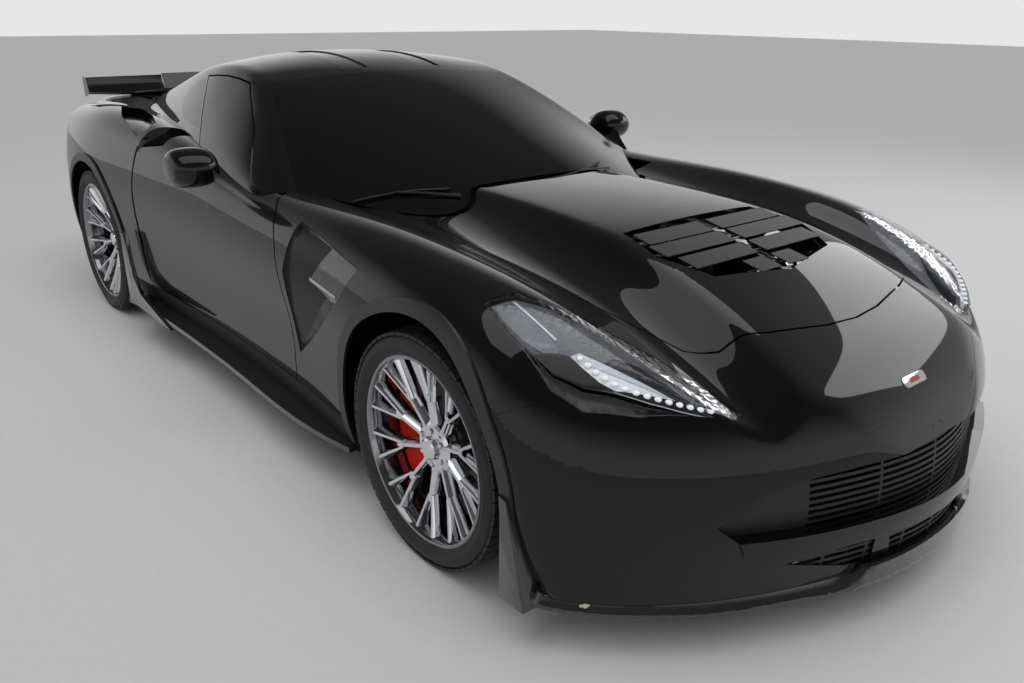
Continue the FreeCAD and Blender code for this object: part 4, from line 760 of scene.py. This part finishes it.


# Curved CAD pieces are shown as smooth copies of themselves
# painted shade inside the side outlets: how deep a face lies before it turns dark, where the bridge ends, and
# the search reach
outletShadeLook = {"depth": 0.0035, "bridgeX": 0.74, "reach": 0.2}
smoothPieces = {"hood_louvres": ("glossBlack", "black_paint"), "splitter": ("carbonBlack", "black_trim"),
                "side_skirts": ("carbonBlack", "black_trim"), "arch_flares": ("satinBlack", "black_trim"),
                "side_outlets": ("glossBlack", "black_trim"), "spoiler": ("glossBlack", "black_paint"),
                "spoiler_window": ("smokedPlastic", "clear_lens"), "exhaust": ("brightSteel", "exhaust_steel"),
                "tail_lamps": ("lampRed", "lamp_red"), "mirror_left": ("blackPaint", "black_paint"),
                "mirror_right": ("blackPaint", "black_paint"), "caliper_left": ("caliperRed", "caliper_red"),
                "caliper_right": ("caliperRed", "caliper_red"), "rear_calipers": ("caliperRed", "caliper_red")}
for name, (look, slot) in smoothPieces.items():
    shown = smoothCopy(name, look, slot)
    # the side outlets get painted shade on their recessed faces
    if name == "side_outlets":
        paintShadeInside(shown, lowerSurface, outletShadeLook)

# The rest of the CAD pieces keep their shape and get their finish
plainFinish = {"grille": "meshBlack", "cowl": "matteBlack", "floor_tub": "matteBlack",
               "engine_block": "castMetal", "interior": "cabinTrim", "suspension": "castMetal",
               "steering_wheel": "cabinTrim", "headlamp_units": "lampDark"}
for side in ("left", "right"):
    plainFinish["knuckle_" + side] = "castMetal"
    for end in ("front", "rear"):
        plainFinish[f"disc_{end}_{side}"] = "brakeIron"
for name, look in plainFinish.items():
    slots = nodes[name].data.materials
    slots.clear()
    slots.append(finish[look])
print("plain pieces finished")

# Wheels: a revolved rim and tyre, with spokes, nuts and tread blocks repeated round the axle, in millimetres

wheelLook = {"spokes": 10, "stemFoot": (30.0, 18.5), "stemWaist": (75.0, 15.5), "stemEnd": (158.0, 13.0),
             "prongStart": 138.0, "prongFoot": 6.0, "prongHalf": 9.5, "prongTip": 12.5, "prongSpread": 37.0,
             "prongSteps": (0.0, 0.3, 0.65, 1.0), "spokeOverlap": 2.0, "flatShare": 0.34, "bevel": 14.0,
             "spokeDepth": 34.0, "hubFace": 84.0, "faceStart": 60.0, "faceCurve": 1.3, "lipStep": 9.0,
             "nuts": 6, "nutCircle": 48.0, "nutRings": ((9.0, 70.0), (9.0, 88.0), (6.3, 92.0)), "nutSides": 6,
             "pitches": 58, "treadDepth": 8.0, "blockShare": 0.88, "blockLean": 0.30, "crown": 5.5,
             "crownPower": 5,
             "ribs": ((-0.93, -0.62), (-0.57, -0.33), (-0.28, -0.03), (0.03, 0.28), (0.33, 0.57), (0.62, 0.93)),
             "rimInset": 14.0, "seatDepth": 16.0, "rimSteps": 96, "hubSteps": 48, "tyreSteps": 120}
spokeTree = aroundTree(finish["chrome"])
treadTree = aroundTree(finish["tyreRubber"])


def spokeSection(x, radius, half, rim, look, outward):
    share = max(0.0, (radius - look["faceStart"]) / (rim["seat"] - look["faceStart"]))
    face = look["hubFace"] + (rim["half"] - look["lipStep"] - look["hubFace"]) * share ** look["faceCurve"]
    flat, low, shoulder = half * look["flatShare"], face - look["spokeDepth"], face - look["bevel"]
    return [spot(px, outward * py, radius) for px, py in (
        (x - half, low), (x - half, shoulder), (x - flat, face), (x + flat, face), (x + half, shoulder),
        (x + half, low))]


def makeSpokes(rim, look, outward):
    mesh = bmesh.new()
    stem = (look["stemFoot"], look["stemWaist"], look["stemEnd"])
    loft(mesh, [spokeSection(0.0, r, h, rim, look, outward) for r, h in stem])
    foot, spread, start = look["prongFoot"], look["prongSpread"], look["prongStart"]
    for hand in (1, -1):
        sections = []
        for share in look["prongSteps"]:
            radius = start + share * (rim["seat"] + look["spokeOverlap"] - start)
            half = look["prongHalf"] + (look["prongTip"] - look["prongHalf"]) * share
            x = hand * (foot + (spread - foot) * share)
            sections.append(spokeSection(x, radius, half, rim, look, outward))
        loft(mesh, sections)
    return mesh


def makeNut(look, outward):
    mesh = bmesh.new()
    loft(mesh, [[spot(r * math.cos(a), outward * y, look["nutCircle"] + r * math.sin(a))
                 for a in turnSteps(look["nutSides"])] for r, y in look["nutRings"]])
    return mesh


def makeTread(tyre, look, outward):
    mesh = bmesh.new()
    pitch = 2 * math.pi / look["pitches"]
    for k, (inner, outer) in enumerate(look["ribs"]):
        lean = look["blockLean"] * pitch if 0 < k < len(look["ribs"]) - 1 else 0.0
        sections = []
        for share in (inner, 0.5 * (inner + outer), outer):
            y = share * tyre["half"]
            top = tyre["radius"] - look["crown"] * abs(share) ** look["crownPower"]
            low = top - look["treadDepth"]
            a0 = lean * (share - inner) / (outer - inner) + 0.5 * pitch * (k % 2)
            a1 = a0 + pitch * look["blockShare"]
            sections.append([spot(r * math.sin(a), outward * y, r * math.cos(a))
                             for r, a in ((low, a0), (top, a0), (top, a1), (low, a1))])
        loft(mesh, sections)
    return mesh


def makeWheel(end, side, look):
    outward = 1 if side == "left" else -1
    label = f"{end}_{side}"
    low, high = (Vector(corner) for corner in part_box("tyre_" + label))
    centre = (low + high) / 2
    tyre = {"radius": (high.z - low.z) / 2 / millimetre, "half": (high.y - low.y) / 2 / millimetre}
    low, high = (Vector(corner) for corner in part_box("rim_" + label))
    rim = {"radius": (high.z - low.z) / 2 / millimetre, "half": tyre["half"] - look["rimInset"]}
    rim["seat"] = rim["radius"] - look["seatDepth"]
    r, h, t, w = rim["radius"], rim["half"], tyre["radius"], tyre["half"]
    barrel = [(r, h - 5), (r, h), (r - 4, h + 1), (r - 9, h - 1), (r - 13, h - 8), (r - 16, h - 26),
              (r - 24, 60), (r - 28, 0), (r - 24, -60), (r - 14, -h + 16), (r - 5, -h), (r, -h), (r, -h + 5),
              (r - 12, -h + 26), (r - 20, -50), (r - 24, 0), (r - 19, 55), (r - 11, h - 28), (r - 6, h - 8)]
    hub = [(0, 104), (24, 103), (30, 99), (32, 92), (34, 86), (62, 84), (70, 78), (72, 58), (70, 50), (0, 50)]
    half = [(r - 5, h - 7), (r - 1, h - 1), (r + 4, h + 4), (r + 8, h + 6), (r + 11, h + 5), (r + 14, h + 7),
            (t - 40, w - 0.5), (t - 37, w - 0.2), (t - 35, w - 1.6), (t - 24, w - 4.5), (t - 17, w - 10),
            (t - 12, w - 17), (t - 8.5, w - 30), (t - 7.6, w * 0.5)]
    carcass = half + [(a, -b) for a, b in reversed(half)] + [(r - 16, -h + 30), (r - 16, h - 30)]
    body = bodyOf["rim_" + label]

    def turned(name, profile, steps, coat, softAngle):
        return revolved(name + label, profile, centre, outward, look[steps], finish[coat], softAngle)

    def repeated(name, mesh, coat, softAngle, tree, count):
        piece = finishedObject(name + label, mesh, finish[coat], softAngle)
        return growFrom(piece, tree, {"Count": look[count], "Centre": centre})

    # the barrel gets the darker chrome, painted shade
    fit(turned("rimBarrel_", barrel, "rimSteps", "barrelChromePaintedShade", 30.0), body, "wheel_chrome", "rim_" + label)
    fit(turned("hubCap_", hub, "hubSteps", "chrome", 25.0), body, "wheel_chrome")
    fit(repeated("spokes_", makeSpokes(rim, look, outward), "chrome", 20.0, spokeTree, "spokes"),
        body, "wheel_chrome")
    fit(repeated("wheelNuts_", makeNut(look, outward), "chrome", 25.0, spokeTree, "nuts"), body, "wheel_chrome")
    fit(turned("tyreCarcass_", carcass, "tyreSteps", "tyreRubber", 40.0), body, "tyre_rubber", "tyre_" + label)
    fit(repeated("treadBlocks_", makeTread(tyre, look, outward), "tyreRubber", 30.0, treadTree, "pitches"),
        body, "tyre_rubber")


for end in ("front", "rear"):
    for side in ("left", "right"):
        makeWheel(end, side, wheelLook)
print("wheels made")

# Headlamps: a light bezel, a black recess with a projector, a crystal strip and a side reflector under the lens
# The outlines are seen from above; each part has its depth under the lens, its thickness and its finish
lampLook = {
    "bezel": ((1494, 838), (1508, 772), (1566, 718), (1644, 671), (1786, 605), (1902, 560), (1996, 536),
              (1998, 560), (1952, 646), (1884, 746), (1810, 827), (1743, 860), (1642, 864), (1562, 856)),
    "recess": ((1776, 706), (1844, 632), (1927, 578), (1968, 566), (1930, 668), (1896, 715), (1870, 738),
               (1832, 752), (1785, 760)),
    "strip": ((1734, 801), (1773, 800), (1821, 794), (1853, 779), (1873, 763), (1909, 728), (1954, 672),
              (1988, 618), (1996, 584), (1982, 578), (1973, 590), (1936, 661), (1898, 712), (1871, 739),
              (1833, 753), (1785, 765), (1736, 776)),
    "reflector": ((1500, 838), (1524, 792), (1600, 797), (1676, 800), (1716, 815), (1775, 808), (1808, 818),
                  (1742, 854), (1642, 858), (1562, 851)),
    "line": ((1520, 783), (1601, 788), (1676, 790), (1678, 796), (1600, 794), (1520, 790)),
    "skirt": ((1716, 818), (1734, 804), (1773, 803), (1821, 797), (1855, 782), (1875, 766), (1911, 731),
              (1956, 675), (1990, 620), (1996, 590), (2000, 562), (1954, 648), (1886, 749), (1811, 831),
              (1743, 864), (1642, 868), (1562, 860), (1560, 854), (1642, 856), (1690, 846)),
    "parts": (("Bezel", "bezel", 15.0, 2.0, "lampSilver"), ("Recess", "recess", 11.5, 2.5, "lampDark"),
              ("Reflector", "reflector", 9.0, 4.0, "lampMist"), ("Strip", "strip", 7.0, 6.0, "lampWhite"),
              ("Skirt", "skirt", 4.5, 2.0, "lampDark"), ("Line", "line", 9.0, 3.0, "lampWhite")),
    "beadLine": ((1750, 788), (1800, 783), (1845, 768), (1884, 738), (1918, 700), (1950, 655), (1978, 606)),
    "beadDepth": 5.0, "beadSpacing": 0.024, "beadRadius": 0.0092, "beadFlatness": 0.7,
    "projector": (1860, 700), "projectorRadius": 0.023, "projectorShift": (-0.030, 0, -0.026),
    "ringFacing": (0.80, 0.25, 0.55), "ringSteps": 32,
    "ringSection": ((0.0225, 0.004), (0.027, 0.004), (0.027, -0.006), (0.0225, -0.006)),
}
beadsTree = beadTree(finish["lampBead"])


def makeBeads(tag, side, look):
    path = bmesh.new()
    last = None
    for x, y in look["beadLine"]:
        place, normal = lowerSurface.under(x, side * y)
        here = path.verts.new(place - normal * look["beadDepth"] * millimetre)
        if last:
            path.edges.new((last, here))
        last = here
    return growFrom(bareObject("lampBeads_" + tag, path), beadsTree, {
        "Spacing": look["beadSpacing"], "Radius": look["beadRadius"], "Flatness": look["beadFlatness"]})


def makeProjector(tag, centre, look):
    mesh = bmesh.new()
    bmesh.ops.create_uvsphere(mesh, u_segments=32, v_segments=20, radius=look["projectorRadius"],
                              matrix=Matrix.Translation(centre))
    return finishedObject("lampProjector_" + tag, mesh, finish["smokedPlastic"], 60.0)


def makeLampRing(tag, side, centre, look):
    x, y, z = look["ringFacing"]
    ahead = Vector((x, side * y, z)).normalized()
    across = ahead.cross(Vector((0, 0, 1))).normalized()
    up = across.cross(ahead)
    mesh = bmesh.new()
    sections = []
    for a in turnSteps(look["ringSteps"]):
        out = across * math.cos(a) + up * math.sin(a)
        sections.append([centre + out * far + ahead * fore for far, fore in look["ringSection"]])
    closedLoft(mesh, sections)
    return finishedObject("lampRing_" + tag, mesh, finish["brightSteel"], 30.0)


def makeLamp(side, look):
    tag = "left" if side > 0 else "right"
    for name, outline, depth, thick, coat in look["parts"]:
        patch = surfacePatch(f"lamp{name}_{tag}", lowerSurface, "plan", turnedTo(side, look[outline]), -depth,
                             thick, coat, 0.012)
        fit(patch, "body", "lamp_metal")
    x, y = look["projector"]
    centre = lowerSurface.under(x, side * y)[0] + Vector(look["projectorShift"])
    for piece in (makeBeads(tag, side, look), makeProjector(tag, centre, look),
                  makeLampRing(tag, side, centre, look)):
        fit(piece, "body", "lamp_metal")


for side in (1, -1):
    makeLamp(side, lampLook)
print("headlamps made")

# Hood vent: wide gloss blades each side of the rib, over the louvres

ventLook = {"first": 1468.0, "pitch": 78.0, "blades": 4, "length": 0.068, "thickness": 0.003, "lean": 0.20,
            "drop": 10.0, "ribHalf": 20.0, "bladeHalf": 28.0,
            "edge": ((1395, 280), (1560, 316), (1690, 256), (1745, 40))}


def makeVentBlades(look):
    edge = through(look["edge"])
    mesh = bmesh.new()
    reach = mesh.verts.layers.float.new("reach")
    for k in range(look["blades"]):
        x = look["first"] + look["pitch"] * k
        outer = min(edge(x - look["bladeHalf"]), edge(x + look["bladeHalf"]))
        for hand in (1, -1):
            y = hand * 0.5 * (outer + look["ribHalf"])
            point = mesh.verts.new(spot(x, y, centreZ(x) - look["drop"]))
            point[reach] = (outer - look["ribHalf"]) * millimetre
    return growFrom(bareObject("ventBlades", mesh), bladeTree(finish["carbonBlack"]), {
        "Length": look["length"], "Thickness": look["thickness"], "Lean": look["lean"]})


fit(makeVentBlades(ventLook), bodyOf["hood_louvres"], "black_paint")
print("vent blades made")

# Trim on the body: nose plate, badge bars, pull notches, outlet mesh, mirror glass, wipers and worn spots
# The nose plate and its inlay are round-ended bars across the car: place along it, half width and end radius

trimLook = {
    "emblem": (2132.0, 52.0, 10.0), "emblemField": (2132.0, 22.0, 4.5),
    "badgeBar": ((762, 671), (934, 658), (931, 648), (766, 660)),
    "pullNotch": ((-783, 884), (-716, 888), (-770, 838), (-786, 842)),
    "outletMesh": ((880, 652), (928, 636), (800, 517), (704, 442), (688, 470), (770, 548)),
    "chips": (((1.8752, -0.8630, 0.1462), 0.0065), ((1.8690, -0.8700, 0.1450), 0.0040),
              ((1.8800, -0.8575, 0.1475), 0.0035)),
    "chipUnevenness": 0.35, "chipWave": 2.7,
}
mirrorLook = {"centre": (1000.0, 902.0), "half": (50.0, 40.0), "rings": ((1.0, 1.0), (13.0, 1.06)), "sides": 28}
wiperLook = {
    "paths": (((548, -655), (574, -590), (600, -530), (638, -455), (686, -368)),
              ((772, -40), (764, 60), (742, 160), (706, 260), (660, 345))),
    "tall": 0.010, "half": 0.0035, "footShare": 0.6, "gap": 0.002, "armReach": (44.0, 10.0), "armRise": 0.003,
    "armFall": 0.008, "armTopShare": 0.6,
    "armSections": ((0.0, 0.003, 0.004), (0.5, 0.004, 0.005), (1.0, 0.007, 0.008)),
}


def roundEndedBar(x, half, radius, steps=8):
    turns = [math.pi * k / steps for k in range(steps + 1)]
    return [(x + hand * radius * math.cos(a), hand * (half - radius + radius * math.sin(a)))
            for hand in (1, -1) for a in turns]


def makeEmblem(look):
    for name, outline, lift, thick, coat, slot in (
            ("noseEmblem", "emblem", 2.0, 4.0, "chrome", "wheel_chrome"),
            ("noseEmblemField", "emblemField", 2.8, 2.0, "badgeRed", "caliper_red")):
        bar = roundEndedBar(*look[outline])
        fit(surfacePatch(name, lowerSurface, "plan", bar, lift, thick, coat, 0.01), "body", slot)


def makeSideTrim(side, look):
    for name, lift, thick, coat, body, slot in (
            ("badgeBar", 2.2, 4.0, "brightSteel", "body", "wheel_chrome"),
            ("pullNotch", 0.5, 1.2, "matteBlack", "door_" + side, "black_trim"),
            ("outletMesh", -9.0, 1.5, "wireMesh", "body", "black_trim")):
        fit(surfacePatch(f"{name}_{side}", lowerSurface, side, look[name], lift, thick, coat), body, slot)


def makeMirrorPane(side, look):
    hand = 1 if side == "left" else -1
    (cy, cz), (ry, rz) = look["centre"], look["half"]
    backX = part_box("mirror_" + side)[0][0] / millimetre
    mesh = bmesh.new()
    loft(mesh, [[spot(backX + dx, hand * (cy + ry * grow * math.cos(a)), cz + rz * grow * math.sin(a))
                 for a in turnSteps(look["sides"])] for dx, grow in look["rings"]])
    return finishedObject("mirrorPane_" + side, mesh, finish["mirrorSilver"], 30.0)


def makeWiper(name, path, look):
    mesh = bmesh.new()
    blade = []
    for i, (x, y) in enumerate(path):
        place, normal = roofSurface.under(x, y)
        a, b = path[max(i - 1, 0)], path[min(i + 1, len(path) - 1)]
        run = Vector((b[0] - a[0], b[1] - a[1], 0)).normalized()
        wide = normal.cross(run).normalized() * look["half"]
        foot, top = place + normal * look["gap"], place + normal * (look["gap"] + look["tall"])
        blade.append([foot - wide * look["footShare"], foot + wide * look["footShare"], top + wide, top - wide])
    loft(mesh, blade)
    x0, y0 = path[2]
    dx, dy = path[-1][0] + look["armReach"][0] - x0, path[-1][1] + look["armReach"][1] - y0
    across = Vector((dy, -dx, 0)).normalized()
    arm = []
    for share, half, tall in look["armSections"]:
        place, normal = roofSurface.under(x0 + dx * share, y0 + dy * share)
        foot = place + normal * (look["tall"] + look["armRise"] - look["armFall"] * share)
        top, wide = foot + Vector((0, 0, tall)), across * half
        narrow = wide * look["armTopShare"]
        arm.append([foot - wide, foot + wide, top + narrow, top - narrow])
    loft(mesh, arm)
    return finishedObject(name, mesh, finish["satinBlack"], 30.0)


def makeChips(look):  # worn spots on the splitter's front corner
    mesh = bmesh.new()
    for place, radius in look["chips"]:
        made = bmesh.ops.create_icosphere(mesh, subdivisions=2, radius=radius,
                                          matrix=Matrix.Translation(Vector(place)))
        for k, v in enumerate(made["verts"]):
            v.co += (v.co - Vector(place)) * look["chipUnevenness"] * math.sin(look["chipWave"] * k)
    return finishedObject("splitterChips", mesh, finish["bareFiller"], 20.0)


makeEmblem(trimLook)
for side in ("left", "right"):
    makeSideTrim(side, trimLook)
    fit(makeMirrorPane(side, mirrorLook), "door_" + side, "clear_lens")
fit(makeChips(trimLook), "body", "black_trim")
for k, path in enumerate(wiperLook["paths"], 1):
    fit(makeWiper(f"wiper_{k}", path, wiperLook), "body", "black_trim")
print("trim made")

# Studio: a pale floor, pale walls as a plain world, a soft sun and two soft panels
studio = {"floorColor": (0.60, 0.60, 0.61), "floorRoughness": 0.8, "floorSize": 80.0,
          "floorGrain": (0.05, 60.0, 0.04, 30.0),
          "wallBrightness": 0.80, "wallTop": 0.20, "wallFade": 0.32, "ceilingBrightness": 0.08,
          "panels": (((1.9, 5.5, 3.6), (5.0, 1.6), 60.0), ((0.5, 0.0, 4.6), (7.0, 2.2), 60.0)),
          "lightStrength": 1.7, "lightSpread": 70.0, "lightPlace": (1.5, -1.2, 5.0)}


def aimedLight(name, kind, place, strength):  # faces the middle of the floor
    light = placed(name, bpy.data.lights.new(name, kind))
    light.data.energy = strength
    light.location = place
    light.rotation_mode = "QUATERNION"
    light.rotation_quaternion = Vector(place).to_track_quat("Z", "Y")
    return light


def makeStudio(look):
    bpy.ops.mesh.primitive_plane_add(size=look["floorSize"])
    floor = bpy.context.object
    floor.name = "studioFloor"
    floor.data.materials.append(makeFinish("floorFinish", {
        "color": look["floorColor"], "roughness": look["floorRoughness"], "grain": look["floorGrain"]}))
    world = bpy.data.worlds.new("studioWorld")
    world.use_nodes = True
    tree = world.node_tree
    place = tree.nodes.new("ShaderNodeTexCoord").outputs["Generated"]
    height = addNode(tree, "ShaderNodeSeparateXYZ", {"Vector": place}).outputs["Z"]
    ramp = addNode(tree, "ShaderNodeValToRGB", {"Fac": height})
    wall, ceiling = ((look[key],) * 3 + (1,) for key in ("wallBrightness", "ceilingBrightness"))
    setStops(ramp, (look["wallTop"], wall), (look["wallTop"] + look["wallFade"], ceiling))
    feed(tree, tree.nodes["Background"], {"Color": ramp.outputs["Color"]})
    scene.world = world
    sun = aimedLight("softLight", "SUN", look["lightPlace"], look["lightStrength"])
    sun.data.angle = math.radians(look["lightSpread"])
    sun.visible_glossy = False
    for k, (place, size, power) in enumerate(look["panels"], 1):
        panel = aimedLight(f"softPanel_{k}", "AREA", place, power)
        panel.data.shape = "RECTANGLE"
        panel.data.size, panel.data.size_y = size


makeStudio(studio)
print("studio ready")
